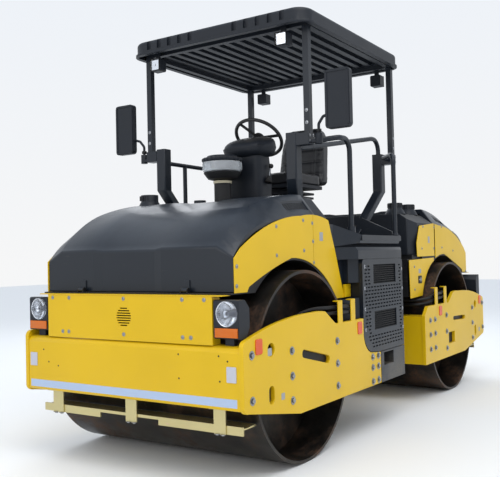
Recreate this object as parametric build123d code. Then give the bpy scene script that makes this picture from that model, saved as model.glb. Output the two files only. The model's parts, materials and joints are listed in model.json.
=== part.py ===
"""Tandem vibratory roller with a canopy: two steel drums on an articulated frame.

Frame: +X forward, +Y the machine's left, +Z up, origin on the ground at the middle of its box.
All sizes in millimetres.  A module (front or rear) is drawn about its own drum axle with x
pointing outward, away from the middle of the machine, and is then placed or mirrored.
"""
from build123d import *
import os
from math import cos, radians, sin, sqrt, tan

os.makedirs("parts", exist_ok=True)

# Main sizes
drum_diameter = 1220
drum_width = 1680
wheelbase = 2900
front_overhang = 790
rear_overhang = 900
machine_width = 1780
plate_thickness = 30

# Gaps between pieces
running_gap = 0.3
moving_gap = 6
arch_gap = 45

# Drums and their carriers
shell_thickness = 20
bulkhead_inset = 260
bulkhead_thickness = 25
shaft_radius = 80
motor_radius = 165
motor_length = 190
carrier_thickness = 18

# Side plates, heights above the ground
plate_bottom = 340
plate_shoulder = 848
plate_crown = 948

# Bumper beams and upper panels
beam_bottom = 458
beam_top = 815
beam_depth = 96
panel_half_width = 675
panel_top = 1094
sheet = 8
flange_half_width = 751

# Deck over the drum, covers and hoods
deck_top = 1298
cover_face_y = 775
cover_sheet = 6
cover_inner_y = cover_face_y - cover_sheet
hood_base = 1112
hood_wall = 12
hood_shoulder_y = 642
front_hood_end = -330
rear_hood_end = -214
hood_step = 9
hood_step_low = (-345, -269)
hood_step_high = (168, 228)
hood_window_low_y = 676
hood_window_high_y = 726
front_hood_window = (-295, 4)
rear_hood_window = (-50, 222)
front_hood_reach = 683
rear_hood_reach = 722
engine_top = 1560

# Hinges of the hoods, at the outer end of each deck
hinge_reach = 27
hinge_height = 1122
hinge_pin_radius = 8
hinge_y = 430
knuckle_radius = 14
knuckle_length = 40
ear_thickness = 8

# Lamps above the beams
lamp_inset = 119
lamp_half = 87
lamp_base = 855
lamp_top = 1073
lens_radius = 70
lens_z = 995

# Scrapers under the beams
scraper_inset = 102
scraper_bottom = 302
scraper_top = 352
scraper_half_width = 812
scraper_gap = 8
strap_rows = ((-722, -626), (-68, 23), (615, 699))

# Hoses along the side plates and the lugs that hold them
hose_radius = 13
hose_inset = 24
lug_half_width = 34
lug_sheet = 8
lug_top = 1000
front_lugs = (-410, -612)
rear_lugs = (-305, -550)

# Middle: articulation, cabinets and platform
cabinet_rear = -98
cabinet_front = 668
cabinet_inner_y = 500
cabinet_top = 1366
cabinet_lip_bottom = 1278
grille_bottom = 578
platform_bottom = 1394
platform_top = 1455
platform_rear = -90
platform_front = 655
pin_radius = 40
swivel_radius = 62
swivel_height = 610
cross_clearance = 48
wing_width = 265
lug_low = 462
lug_high = 758
lug_thickness = 42
cylinder_z = 560
barrel_pin_x = 98
barrel_pin_y = 220
yoke_arm_x = -360
yoke_arm_y = 130
barrel_radius = 42
barrel_end = 288
rod_radius = 22
rod_start = 172
eye_radius = 34
eye_half = 24
cylinder_pin_radius = 16
clevis_plate = 14
cowl_half_width = 752
cowl_top = 1722
cowl_rear_inset = 500

# Seat, steering wheel and pre-cleaner
seat_x = 230
cushion_z = 1900
wheel_x = 628
wheel_z = 2262
wheel_radius = 205
wheel_tilt = -40
cleaner_x = 1045
cleaner_y = -69
cleaner_tube_radius = 64

# Protective frame and canopy
column_size = 85
column_y = 590
column_top = 2173
column_kink = 1848
front_column_x = 1105
rear_column_x = -370
post_size = 45
post_y = 712
front_post_x = 1105
rear_post_x = -365
post_bottom = 2085
canopy_bottom = 2945
canopy_top = 3015
canopy_front = 1248
canopy_rear = -436
canopy_half_width = 783
canopy_lip = 12
roof_frame_depth = 34
work_lamp_spots = ((1155, 560), (1155, -585), (-420, 575), (-420, -600))
work_lamp_z = 2828
work_lamp_stem = canopy_bottom - 40
rail_radius = 19
rail_inset = 40

# Tank
tank_bottom = deck_top
tank_top = 1672
tank_front = -682
tank_rear = -1216
cap_spots = ((-1100, 560), (-790, 560))

# Places worked out from the sizes above
half_width = machine_width / 2
plate_inner_y = half_width - plate_thickness
drum_radius = drum_diameter / 2
front_drum_x = (wheelbase + rear_overhang - front_overhang) / 2
rear_drum_x = front_drum_x - wheelbase
pivot_x = (front_drum_x + rear_drum_x) / 2
half_base = wheelbase / 2
axle_z = drum_radius
lamp_y = half_width - lamp_inset
hose_y = half_width - hose_inset
rail_y = half_width - rail_inset
cowl_rear = half_base - cowl_rear_inset
cross_rear = drum_radius + cross_clearance - half_base
wing_inner_y = half_width - wing_width
wing_outer_y = cover_inner_y - 5
wing_low = platform_bottom - 22
wing_top = platform_top + 75
wing_step_x = cowl_rear - 75


def block(x0, x1, y0, y1, z0, z1):
    """A box between two corners."""
    return Pos((x0 + x1) / 2, (y0 + y1) / 2, (z0 + z1) / 2) * Box(abs(x1 - x0), abs(y1 - y0), abs(z1 - z0))


def to(x, z):
    """A straight step of an outline."""
    return (x, z)


def arc(mid_x, mid_z, x, z):
    """A round step of an outline, through a middle point."""
    return (mid_x, mid_z, x, z)


def outline(start, *steps):
    """A closed flat face from straight and round steps."""
    edges = []
    here = start
    for step in steps:
        there = step[-2:]
        if len(step) == 4:
            edges.append(ThreePointArc(here, step[:2], there))
        else:
            edges.append(Line(here, there))
        here = there
    edges.append(Line(here, start))
    return make_face(Wire(edges))


def rounded(points):
    """A closed flat face from (u, v, corner radius) rows."""
    corners = [(u, v) for u, v, _ in points]
    radii = [radius for _, _, radius in points]
    return make_face(FilletPolyline(*corners, radius=radii, close=True))


def side_slab(face, y0, y1):
    """A face drawn in X and Z, given a thickness from y0 to y1."""
    plane = Plane(origin=(0, max(y0, y1), 0), x_dir=(1, 0, 0), z_dir=(0, -1, 0))
    return extrude(plane * face, amount=abs(y1 - y0))


def front_slab(face, x0, x1):
    """A face drawn in Y and Z, given a thickness from x0 to x1."""
    plane = Plane(origin=(min(x0, x1), 0, 0), x_dir=(0, 1, 0), z_dir=(1, 0, 0))
    return extrude(plane * face, amount=abs(x1 - x0))


def flat_slab(face, z0, z1):
    """A face drawn in X and Y, given a thickness from z0 to z1."""
    return extrude(Plane(origin=(0, 0, z0)) * face, amount=z1 - z0)


def rod_x(x0, x1, y, z, radius):
    return Pos((x0 + x1) / 2, y, z) * Rot(0, 90, 0) * Cylinder(radius, abs(x1 - x0))


def rod_y(x, y0, y1, z, radius):
    return Pos(x, (y0 + y1) / 2, z) * Rot(90, 0, 0) * Cylinder(radius, abs(y1 - y0))


def rod_z(x, y, z0, z1, radius):
    return Pos(x, y, (z0 + z1) / 2) * Cylinder(radius, abs(z1 - z0))


def pipe(points, radii, radius):
    """A bent round tube along straight runs joined by arcs."""
    path = FilletPolyline(*points, radius=radii)
    start = Plane(origin=path @ 0, z_dir=path % 0)
    return sweep(start * Circle(radius), path=path)


def right_of(solid):
    """The same piece on the machine's other side."""
    return mirror(solid, about=Plane.XZ)


def both_sides(solid):
    return [solid, right_of(solid)]


def at_front(solid):
    return Pos(front_drum_x, 0, 0) * solid


def at_rear(solid):
    return Pos(rear_drum_x, 0, 0) * mirror(solid, about=Plane.YZ)


def at_middle(solid):
    return Pos(pivot_x, 0, 0) * solid


def save(name, solids, place=None):
    """Writes one node, made of one solid or of several that don't touch."""
    pieces = solids if isinstance(solids, list) else [solids]
    if place is not None:
        pieces = [place(piece) for piece in pieces]
    bodies = [body for piece in pieces for body in piece.solids()]
    export_step(Compound(children=bodies) if len(bodies) > 1 else bodies[0], f"parts/{name}.step")


# Drums

def drum():
    """Open steel shell with two bulkheads that run on the carriers' shafts."""
    shell = rod_y(0, -drum_width / 2, drum_width / 2, axle_z, drum_radius)
    shell -= rod_y(0, -drum_width, drum_width, axle_z, drum_radius - shell_thickness)
    for side in (-1, 1):
        outer = side * (drum_width / 2 - bulkhead_inset)
        inner = outer - side * bulkhead_thickness
        shell += rod_y(0, outer, inner, axle_z, drum_radius - shell_thickness + 1)
        shell += rod_y(0, outer + side * 30, inner - side * 30, axle_z, shaft_radius + 60)
        shell -= rod_y(0, outer + side * 60, inner - side * 60, axle_z, shaft_radius + running_gap)
    return shell


def drum_carrier():
    """Plate on the side plate's inner face, with the drive motor and the shaft."""
    face = rounded([(-360, axle_z - 205, 60), (300, axle_z - 205, 60), (300, axle_z + 150, 60),
                    (120, axle_z + 215, 60), (-180, axle_z + 215, 60), (-360, axle_z + 120, 60)])
    plate = side_slab(face, plate_inner_y - carrier_thickness, plate_inner_y)
    motor_in = plate_inner_y - carrier_thickness - motor_length
    bulkhead = drum_width / 2 - bulkhead_inset
    plate += rod_y(0, motor_in, plate_inner_y - carrier_thickness, axle_z, motor_radius)
    plate += rod_y(0, motor_in - 30, motor_in, axle_z, motor_radius - 40)
    plate += rod_y(0, bulkhead - bulkhead_thickness - 20, motor_in, axle_z, shaft_radius)
    return plate


# Side plates

def slot_face(x, z, length, height, tilt):
    return Pos(x, z) * Rot(0, 0, tilt) * SlotOverall(length, height)


def hose_lugs(places):
    """Bent strap lugs that stand on a side plate's top edge and hold the hoses."""
    lugs = []
    for x in places:
        lug = block(x - lug_half_width, x + lug_half_width, half_width - lug_sheet, half_width,
                    plate_shoulder - 20, lug_top)
        lug += block(x - lug_half_width, x + lug_half_width, half_width - 42, half_width,
                     lug_top - lug_sheet, lug_top)
        lugs.append(lug)
    return lugs


def front_plate():
    """Left side plate of the front frame, drawn about the front drum's axle."""
    end = front_overhang
    back = cabinet_front - half_base
    face = outline((-1075, plate_bottom), to(166, plate_bottom), to(end - 45, 443),
                   arc(end - 12, 455, end, 490), to(end, 805), arc(end - 8, 832, end - 34, 848),
                   arc(350, 928, -32, plate_crown), arc(-130, plate_crown, -190, 941),
                   to(-208, 930), to(-326, 856), to(-348, plate_shoulder), to(back + 4, plate_shoulder),
                   to(back + 4, 740), arc(back - 44, 629, back - 150, grille_bottom + 6),
                   to(back - 282, grille_bottom - 5), to(-1075, grille_bottom - 5))
    plate = side_slab(face, plate_inner_y, half_width)
    holes = side_slab(Pos(497, 770) * Circle(38.5), 0, machine_width)
    holes += side_slab(slot_face(499, 508, 106, 58, 90), 0, machine_width)
    holes += side_slab(slot_face(-53, 663, 378, 52, 13), 0, machine_width)
    return plate - holes + hose_lugs(front_lugs)


def rear_plate():
    """Left side plate of the rear frame, drawn about the rear drum's axle."""
    end = rear_overhang
    face = outline((-858, plate_bottom), to(250, plate_bottom), to(end - 45, 448),
                   arc(end - 12, 462, end, 495), to(end, 800), arc(end - 8, 828, end - 34, 841),
                   arc(500, 915, 120, 936), arc(0, plate_crown - 6, -72, 936),
                   to(-86, 928), to(-206, 854), to(-228, plate_shoulder - 4), to(-776, plate_shoulder - 4),
                   to(-858, 765))
    plate = side_slab(face, plate_inner_y, half_width)
    holes = side_slab(Pos(615, 776) * Circle(38.5), 0, machine_width)
    holes += side_slab(slot_face(607, 509, 106, 58, 90), 0, machine_width)
    holes += side_slab(slot_face(89, 679, 364, 38, -2), 0, machine_width)
    holes += block(-238, -62, 0, machine_width, 460, 563)
    return plate - holes + hose_lugs(rear_lugs)


# Beams and panels at the two ends

def end_beam(reach):
    """Hollow bumper beam between the side plates."""
    outer = reach - 4
    section = outline((outer - beam_depth, beam_bottom), to(outer - 12, beam_bottom),
                      arc(outer - 4, beam_bottom + 4, outer, beam_bottom + 12), to(outer, beam_top - 40),
                      arc(outer - 12, beam_top - 12, outer - 40, beam_top), to(outer - beam_depth, beam_top))
    beam = side_slab(section, -plate_inner_y, plate_inner_y)
    wall = 2 * sheet
    hollow = block(outer - beam_depth - 1, outer - wall, -plate_inner_y + wall, plate_inner_y - wall,
                   beam_bottom + wall, beam_top - wall)
    return beam - hollow


def end_panel(reach):
    """Folded sheet above the beam, with a round slotted horn grille and a wide top flange."""
    face_x = reach - 13
    base = beam_top
    panel = block(face_x - sheet, face_x, -panel_half_width, panel_half_width, base, panel_top)
    for side in (-1, 1):
        panel += block(face_x - beam_depth + 20, face_x, side * (panel_half_width - sheet),
                       side * panel_half_width, base, panel_top)
    panel += block(face_x - beam_depth + 20, face_x + 4, -flange_half_width, flange_half_width,
                   panel_top - 2, panel_top + 4)
    slit_height = 7
    slit_pitch = 15
    grille_radius = 60
    grille_z = (base + panel_top) / 2 + 6
    for row in range(-3, 5):
        offset = (row - 0.5) * slit_pitch
        half = sqrt(grille_radius**2 - offset**2)
        panel -= block(face_x - 2 * sheet, face_x + 1, -half, half, grille_z + offset - slit_height / 2,
                       grille_z + offset + slit_height / 2)
    return panel


def lamp_housing(reach):
    """Black lamp box on a foot that stands on the beam."""
    front = reach - 15
    shape = rounded([(front, lamp_base, 8), (front, lamp_top, 12), (front - 60, lamp_top, 25),
                     (front - 105, lamp_top - 50, 20), (front - 105, lamp_base + 60, 20),
                     (front - 70, lamp_base, 8)])
    housing = side_slab(shape, lamp_y - lamp_half, lamp_y + lamp_half)
    housing -= rod_x(front - 40, front + 1, lamp_y, lens_z, lens_radius + 4)
    housing -= block(front - 22, front + 1, lamp_y - lamp_half + 8, lamp_y + lamp_half - 8, lamp_base + 6,
                     lamp_base + 62)
    housing += block(front - 70, front - 30, lamp_y - 30, lamp_y + 30, beam_top, lamp_base)
    return housing


def lamp_glass(reach):
    """Round lens, bulged at its rim, that fills the housing's round recess."""
    front = reach - 15
    glass = rod_x(front - 38, front + 8, lamp_y, lens_z, lens_radius + 3)
    return fillet(glass.edges().sort_by(Axis.X)[-1], 11)


def indicator(reach):
    """Amber indicator under the lens."""
    front = reach - 15
    return block(front - 22, front + 6, lamp_y - lamp_half + 10, lamp_y + lamp_half - 10, lamp_base + 8,
                 lamp_base + 60)


# Deck over the drum

def arch_deck(reach):
    """Box deck that bridges the drum and carries the engine and hood."""
    radius = drum_radius + arch_gap
    front_x = reach - 20
    body = outline((-560, 1003), to(-560, deck_top), to(front_x - 8, deck_top), to(front_x - 8, 1106),
                   to(front_x + 60, 1106), to(front_x + 60, 1098), to(front_x - 30, 1098),
                   to(front_x - 190, 1098))
    deck = side_slab(body, -cover_inner_y, cover_inner_y)
    deck -= rod_y(0, -machine_width, machine_width, axle_z, radius + 20)
    return deck + hinge_ears(reach)


def hinge_ears(reach):
    """Pairs of ears on the deck's outer shelf, with the pins that the hood turns on."""
    x = reach + hinge_reach
    ears = []
    for side in (-1, 1):
        for end in (-1, 1):
            inner = side * hinge_y + end * (knuckle_length / 2 + running_gap)
            outer = inner + end * ear_thickness
            ears.append(block(x - 12, x + 12, inner, outer, 1106, hinge_height))
            ears.append(rod_y(x, inner, outer, hinge_height, knuckle_radius))
        reach_y = knuckle_length / 2 + running_gap + ear_thickness
        ears.append(rod_y(x, side * hinge_y - reach_y, side * hinge_y + reach_y, hinge_height,
                          hinge_pin_radius))
    return ears


def hinge_knuckles(reach):
    """Knuckles on the hood's outer wall, with arms bent down to the pins."""
    x = reach + hinge_reach
    knuckles = []
    for side in (-1, 1):
        low, high = side * hinge_y - knuckle_length / 2, side * hinge_y + knuckle_length / 2
        knuckle = rod_y(x, low, high, hinge_height, knuckle_radius)
        knuckle += block(reach - 2, x, low, high, hinge_height - 2, hinge_height + 10)
        knuckle += block(reach - 2, reach + 8, low, high, hinge_height - 2, hinge_height + 60)
        knuckles.append(knuckle - rod_y(x, low - 1, high + 1, hinge_height, hinge_pin_radius + running_gap))
    return knuckles


def engine_block():
    """Engine with its gearbox, one plain block on the deck."""
    return block(-270, 380, -330, 330, deck_top, engine_top)


# Side covers

def cover_outline(reach):
    """Outline of the arched yellow side cover, with its slanted inner end."""
    bottom = 1106
    arch = drum_radius + 78
    low_x = reach - 148
    return outline((reach, bottom), to(reach, 1306), to(reach - 64, 1361),
                   arc(reach - 345, 1492, -103, 1575), arc(-300, 1586, -486, 1556),
                   to(-584, 1335), to(-709, 1003), to(-585, 1003),
                   arc(-arch * 0.42, axle_z + arch * 0.9075, 40, axle_z + arch),
                   arc(arch * 0.42, axle_z + arch * 0.9075 - 6, low_x, bottom + 30), to(low_x + 20, bottom))


def side_cover(reach, seams):
    """Cover sheet cut at its vertical seams."""
    cover = side_slab(cover_outline(reach), cover_inner_y, cover_face_y)
    for seam in seams:
        cover -= block(seam - 2, seam + 2, 0, machine_width, 900, 1700)
    return cover


def front_covers():
    cover = side_cover(front_hood_reach + 6, [-260])
    bracket = block(-798, -700, cover_inner_y, cover_face_y + 10, 1005, 1098)
    return cover + bracket


def rear_covers():
    """Rear covers: the arched end cover, the door beside the tank and the latch cover below it."""
    arched = side_cover(rear_hood_reach + 6, [-214])
    keep = block(-212, 900, 0, machine_width, 900, 1700)
    door = rounded([(-240, 1592, 4), (-240, 1284, 4), (-690, 1280, 8), (-700, 1400, 30), (-626, 1560, 25)])
    latch_cover = outline((-262, 1268), to(-894, 1252), to(-880, 916), to(-585, 926),
                          arc(-440, 1140, -262, 1236))
    pieces = [arched & keep, side_slab(door, cover_inner_y, cover_face_y)]
    pieces.append(side_slab(latch_cover, cover_inner_y, cover_face_y))
    return pieces


# Hoods

def hood_profile(reach, inner, drop, crown_drop):
    """Side outline of the hood: a low brow, a long round back and a straight inner end."""
    brow = 1371 - drop
    return outline((reach, hood_base), to(reach, brow - 8), arc(reach - 4, brow + 6, reach - 14, brow + 16),
                   arc(reach - 190, 1542 - crown_drop * 0.62, reach - 416, 1646 - crown_drop),
                   arc(reach - 690, 1708 - crown_drop * 1.15, inner, 1734 - crown_drop * 1.3),
                   to(inner, hood_base))


def side_plane(y):
    return Plane(origin=(0, y, 0), x_dir=(1, 0, 0), z_dir=(0, -1, 0))


def hood_body(reach, inner, inset):
    """Solid hood form; with an inset it is the hollow inside.

    From side to side: a folded shoulder, the crown, and a lower middle panel between two creases.
    """
    half = cover_inner_y - moving_gap
    crown = hood_profile(reach, inner, 0, 0)
    panel = hood_profile(reach - hood_step, inner, hood_step, hood_step)
    edge = hood_profile(reach, inner, 60, 122)
    if inset:
        crown, panel, edge = [offset(face, -inset) for face in (crown, panel, edge)]
    right_outer, right_inner = hood_step_low
    left_inner, left_outer = hood_step_high
    body = side_slab(crown, -hood_shoulder_y, right_outer) + side_slab(crown, left_outer, hood_shoulder_y)
    body += side_slab(panel, right_inner, left_inner)
    body += loft([side_plane(right_outer) * crown, side_plane(right_inner) * panel], ruled=True)
    body += loft([side_plane(left_outer) * crown, side_plane(left_inner) * panel], ruled=True)
    flank = loft([side_plane(hood_shoulder_y) * crown, side_plane(half - inset) * edge], ruled=True)
    return body + flank + right_of(flank)


def hood_window(reach, inner, span):
    """Shallow recess in the hood's left shoulder, where its side air inlet is."""
    zone = block(span[0], span[1], hood_window_low_y, hood_window_high_y, 1500, 1800)
    return (hood_body(reach, inner, 0) & zone) - hood_body(reach, inner, hood_wall - 3)


def hood(reach, inner, window):
    """Moulded hood shell, open below, behind and beside the covers."""
    shell = hood_body(reach, inner, 0) - hood_body(reach, inner, hood_wall)
    recess = hood_window(reach, inner, window)
    shell = shell - recess - right_of(recess)
    side = hood_shoulder_y - hood_wall
    shell -= block(inner - 1, reach - hood_wall, -side, side, hood_base - 1, deck_top + moving_gap)
    shell -= block(inner - 1, inner + 2 * hood_wall, -side, side, hood_base - 1, 1690)
    edge = offset(hood_profile(reach, inner, 60, 122), -26)
    below = side_slab(edge, side, machine_width)
    below += block(inner - 1, reach - 26, side, machine_width, hood_base - 1, hood_base + 60)
    below += block(inner - 1, inner + 60, side, machine_width, hood_base - 1, 1540)
    return shell - below - right_of(below) + hinge_knuckles(reach)


# Middle of the machine

def centre_frame():
    """Cross member behind the front drum with the two lugs that hold the pivot pin."""
    frame = block(150, 420, -cabinet_inner_y, cabinet_inner_y, 380, 1000)
    lug = outline((160, -150), to(0, -75), arc(-75, 0, 0, 75), to(160, 150))
    for low, high in ((lug_low - lug_thickness, lug_low), (lug_high, lug_high + lug_thickness)):
        frame += flat_slab(lug, low, high)
    frame += rod_z(0, 0, lug_low, lug_high, pin_radius)
    for side in (-1, 1):
        frame += clevis(side)
    return frame


def clevis(side):
    """Fork and pin that hold the steering cylinder's barrel."""
    y = side * barrel_pin_y
    plan = Pos(barrel_pin_x, y) * Circle(eye_radius)
    plan += Pos((barrel_pin_x + 155) / 2, y) * Rectangle(155 - barrel_pin_x, 2 * eye_radius)
    inner, outer = eye_half + 2, eye_half + 2 + clevis_plate
    fork = flat_slab(plan, cylinder_z - outer, cylinder_z - inner)
    fork += flat_slab(plan, cylinder_z + inner, cylinder_z + outer)
    fork += block(barrel_pin_x + eye_radius + 11, 155, y - eye_radius, y + eye_radius,
                  cylinder_z - outer, cylinder_z + outer)
    return fork + rod_z(barrel_pin_x, y, cylinder_z - outer, cylinder_z + outer, cylinder_pin_radius)


def yoke():
    """Hub on the pivot pin with the swivel shaft behind it and a steering arm on each side."""
    hub = rod_z(0, 0, lug_low + moving_gap, lug_high - moving_gap, pin_radius + 48)
    body = hub + block(-430, -40, -60, 60, swivel_height - 95, swivel_height + 95)
    plate_top = cylinder_z - eye_half - moving_gap
    for side in (-1, 1):
        arm = Polyline((-270, side * 50), (-430, side * 50), (yoke_arm_x - 40, side * (yoke_arm_y + 36)),
                       (yoke_arm_x + 40, side * (yoke_arm_y + 36)), close=True)
        body += flat_slab(make_face(arm), plate_top - 22, plate_top)
    body += rod_x(-430, -455, 0, swivel_height, swivel_radius + 64)
    body += rod_x(-455, -745, 0, swivel_height, swivel_radius)
    return body - rod_z(0, 0, 0, 2000, pin_radius + running_gap)


def cylinder_line(side):
    """Ends of one steering cylinder: its pin on the centre frame and its eye over the yoke's arm."""
    start = Vector(barrel_pin_x, side * barrel_pin_y, cylinder_z)
    end = Vector(yoke_arm_x, side * yoke_arm_y, cylinder_z)
    return start, end


def along(start, end, near, far, radius):
    """A round bar on the line from start to end, between two distances from start."""
    direction = (end - start).normalized()
    plane = Plane(origin=start + direction * near, z_dir=direction)
    return extrude(plane * Circle(radius), amount=far - near)


def barrel(side):
    """Cylinder barrel with its eye, bored for the rod."""
    start, end = cylinder_line(side)
    solid = along(start, end, eye_radius + 12, barrel_end, barrel_radius)
    solid += along(start, end, 0, eye_radius + 14, eye_half - 1)
    solid += rod_z(start.X, start.Y, cylinder_z - eye_half, cylinder_z + eye_half, eye_radius)
    solid -= along(start, end, eye_radius + 26, barrel_end + 1, rod_radius + running_gap)
    return solid - rod_z(start.X, start.Y, 0, 2000, cylinder_pin_radius + running_gap)


def cylinder_rod(side):
    """Rod with its eye and the eye's pin, which hangs free over the yoke's arm."""
    start, end = cylinder_line(side)
    length = (end - start).length
    solid = along(start, end, rod_start, length - eye_radius + 6, rod_radius)
    solid += rod_z(end.X, end.Y, cylinder_z - eye_half, cylinder_z + eye_half, eye_radius)
    return solid + rod_z(end.X, end.Y, cylinder_z - eye_half, cylinder_z + eye_half + 10,
                         cylinder_pin_radius + 6)


def cabinet():
    """Side cabinet under the platform, open behind its grille, with a step in its foot."""
    plan = rounded([(cabinet_rear, cabinet_inner_y, 2), (cabinet_rear, plate_inner_y, 10),
                    (cabinet_front, plate_inner_y, 10), (790, cover_inner_y - 7, 10),
                    (790, cabinet_inner_y, 2)])
    body = flat_slab(plan, plate_bottom, cabinet_lip_bottom)
    body -= block(cabinet_front - 25, 900, cover_inner_y - 7, machine_width, 995, 1108)
    body -= block(735, 900, cover_inner_y - 7, machine_width, 990, cabinet_lip_bottom + 1)
    body -= side_slab(axle_clearance(), 0, machine_width)
    body -= block(cabinet_rear + 25, cabinet_front - 30, plate_inner_y - 150, machine_width,
                  grille_bottom + 25,
                  cabinet_lip_bottom - 25)
    body += block(cabinet_rear, 368, plate_inner_y - 40, half_width, plate_bottom, grille_bottom - 5)
    step_x0, step_x1, step_z0, step_z1 = 130, 316, 464, 560
    body -= block(step_x0, step_x1, plate_inner_y - 130, machine_width, step_z0, step_z1)
    body += block(step_x0 - 45, step_x1 + 15, plate_inner_y, half_width, step_z0 - 8, step_z0)
    lip_plan = rounded([(cabinet_rear - 10, cabinet_inner_y, 2), (cabinet_rear - 10, half_width, 30),
                        (cabinet_front + 65, half_width, 12), (845, 762, 10), (882, 762, 4),
                        (882, cabinet_inner_y, 2)])
    lip = flat_slab(lip_plan, cabinet_lip_bottom, cabinet_top)
    slope = Polyline((0, cabinet_lip_bottom - 1), (half_width, cabinet_lip_bottom - 1),
                     (half_width, cabinet_top - 26),
                     (half_width - 14, cabinet_top), (0, cabinet_top), close=True)
    lip = lip & front_slab(make_face(slope), cabinet_rear - 200, half_base)
    return body + lip


def axle_clearance():
    """Space that the front drum needs, seen from the side."""
    return Pos(half_base, axle_z) * Circle(drum_radius + 30)


def grille():
    """Perforated cover on the cabinet: two big windows between rows of short slots."""
    x0, x1, top = cabinet_rear + 2, cabinet_front, cabinet_lip_bottom - 2
    face = outline((x1 - 148, grille_bottom + 12), arc(x1 - 48, 634, x1, 742), to(x1, top - 30),
                   arc(x1 - 9, top - 9, x1 - 30, top), to(x0 + 30, top), arc(x0 + 9, top - 9, x0, top - 30),
                   to(x0, grille_bottom), to(x1 - 280, grille_bottom))
    cover = side_slab(face, plate_inner_y, half_width)
    cover -= side_slab(offset(face, -24), plate_inner_y - 1, half_width - 6)
    cover -= block(48, 475, 0, machine_width, 1090, 1234)
    cover -= block(50, 472, 0, machine_width, 748, 884)
    slots = []
    slot_w, slot_h, pitch_x, pitch_z = 34, 11, 54, 26
    for row in range(24):
        z = 620 + row * pitch_z
        for column in range(13):
            x = -60 + column * pitch_x + (row % 2) * 12
            in_window = 20 < x + slot_w and x < 500 and (715 < z < 905 or 1062 < z < 1260)
            in_corner = z < 760 and x > 500 + (z - 620) * 0.75
            if in_window or in_corner or x + slot_w > x1 - 26:
                continue
            slots.append(block(x, x + slot_w, half_width - 10, half_width + 10, z, z + slot_h))
    return cover - slots


def platform():
    """Operator's floor with thick folded sills and a wing that rises to the front cowl."""
    floor = block(platform_rear, platform_front, -half_width, half_width, platform_bottom + 20, platform_top)
    floor += block(platform_front, cowl_rear, -cowl_half_width, cowl_half_width, platform_bottom + 20,
                   platform_top)
    for side in (-1, 1):
        sill = Polyline((half_width, platform_top), (half_width - 4, platform_top - 8),
                        (half_width - 22, platform_bottom), (half_width - 330, platform_bottom),
                        (half_width - 330, platform_top), close=True)
        shape = front_slab(make_face(sill), platform_rear, platform_front)
        wing_rear = Plane(origin=(platform_front, 0, 0), x_dir=(0, 1, 0), z_dir=(1, 0, 0))
        wing_front = Plane(origin=(wing_step_x, 0, 0), x_dir=(0, 1, 0), z_dir=(1, 0, 0))
        rear_face = make_face(Polyline((wing_inner_y, platform_bottom), (half_width - 22, platform_bottom),
                                       (half_width - 2, platform_top), (wing_inner_y, platform_top),
                                       close=True))
        front_face = make_face(Polyline((wing_inner_y, wing_low), (wing_outer_y, wing_low),
                                        (wing_outer_y, wing_top), (wing_inner_y, wing_top), close=True))
        wing = loft([wing_rear * rear_face, wing_front * front_face], ruled=True)
        wing += block(wing_step_x, cowl_rear, wing_inner_y, wing_outer_y, wing_low, wing_top)
        if side < 0:
            shape = right_of(shape)
            wing = right_of(wing)
        floor += shape + wing
    return floor


def cowl():
    """Closed housing between the hood and the console that carries the front columns."""
    wide, narrow = cowl_half_width, cowl_half_width - 122
    section = rounded([(-wide, deck_top, 4), (-wide, cowl_top - 147, 20), (-narrow, cowl_top, 40),
                       (narrow, cowl_top, 40), (wide, cowl_top - 147, 20), (wide, deck_top, 4)])
    housing = front_slab(section, cowl_rear, half_base + front_hood_end - 8)
    return housing + rod_z(1057, -278, cowl_top - 1, cowl_top + 32, 46)


def console():
    """Steering pedestal with the instrument pod on top."""
    side = outline((720, platform_top), to(770, platform_top), to(860, 1760), to(880, 2080), to(690, 2080),
                   to(650, 1900))
    pedestal = side_slab(side, -150, 150)
    pod = outline((640, 2100), to(880, 2080), arc(925, 2090, 915, 2130), arc(850, 2225, 745, 2262),
                  to(690, 2268), arc(655, 2240, 640, 2180))
    plan = rounded([(600, -225, 30), (600, 225, 30), (850, 225, 110), (930, 110, 60), (930, -110, 60),
                    (850, -225, 110)])
    body = side_slab(pod, -240, 240) & flat_slab(plan, 2000, 2400)
    body -= steering_wheel(running_gap)
    levers = along(Vector(700, 150, 1980), Vector(640, 235, 2060), 0, 100, 8)
    return pedestal + body + levers


def steering_wheel(gap=0):
    """Rim on three spokes, tilted towards the driver; a gap swells its column for the bore."""
    rim = Torus(wheel_radius - 13, 14)
    hub = Cylinder(42, 30)
    spokes = []
    for angle in (90, 210, 330):
        spokes.append(Rot(0, 0, angle) * Pos(wheel_radius / 2, 0, 0) * Box(wheel_radius - 45, 22, 10))
    column = Pos(0, 0, -60) * Cylinder(24 + gap, 110 + gap)
    wheel = rim + hub + spokes + column
    return Pos(wheel_x, 0, wheel_z) * Rot(0, wheel_tilt, 0) * wheel


def seat_base():
    """Suspension seat frame on a pedestal with slide rails and arm rests."""
    base = block(seat_x - 210, seat_x + 210, -190, 190, platform_top, platform_top + 50)
    base += block(seat_x - 180, seat_x + 180, -160, 160, platform_top + 50, cushion_z - 180)
    for offset_z in (60, 95, 130):
        base += block(seat_x - 195 + offset_z / 4, seat_x + 195 - offset_z / 4, -178, 178,
                      cushion_z - offset_z - 18,
                      cushion_z - offset_z)
    base += block(seat_x - 120, seat_x + 120, -110, 110, cushion_z - 180, cushion_z - 10)
    base += block(seat_x - 240, seat_x + 220, -225, 225, cushion_z - 30, cushion_z - running_gap)
    return base


def seat_cushion():
    face = rounded([(seat_x - 235, cushion_z, 20), (seat_x + 250, cushion_z, 40),
                    (seat_x + 250, cushion_z + 95, 45),
                    (seat_x - 235, cushion_z + 70, 20)])
    pad = side_slab(face, -245, 245)
    return pad


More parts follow.
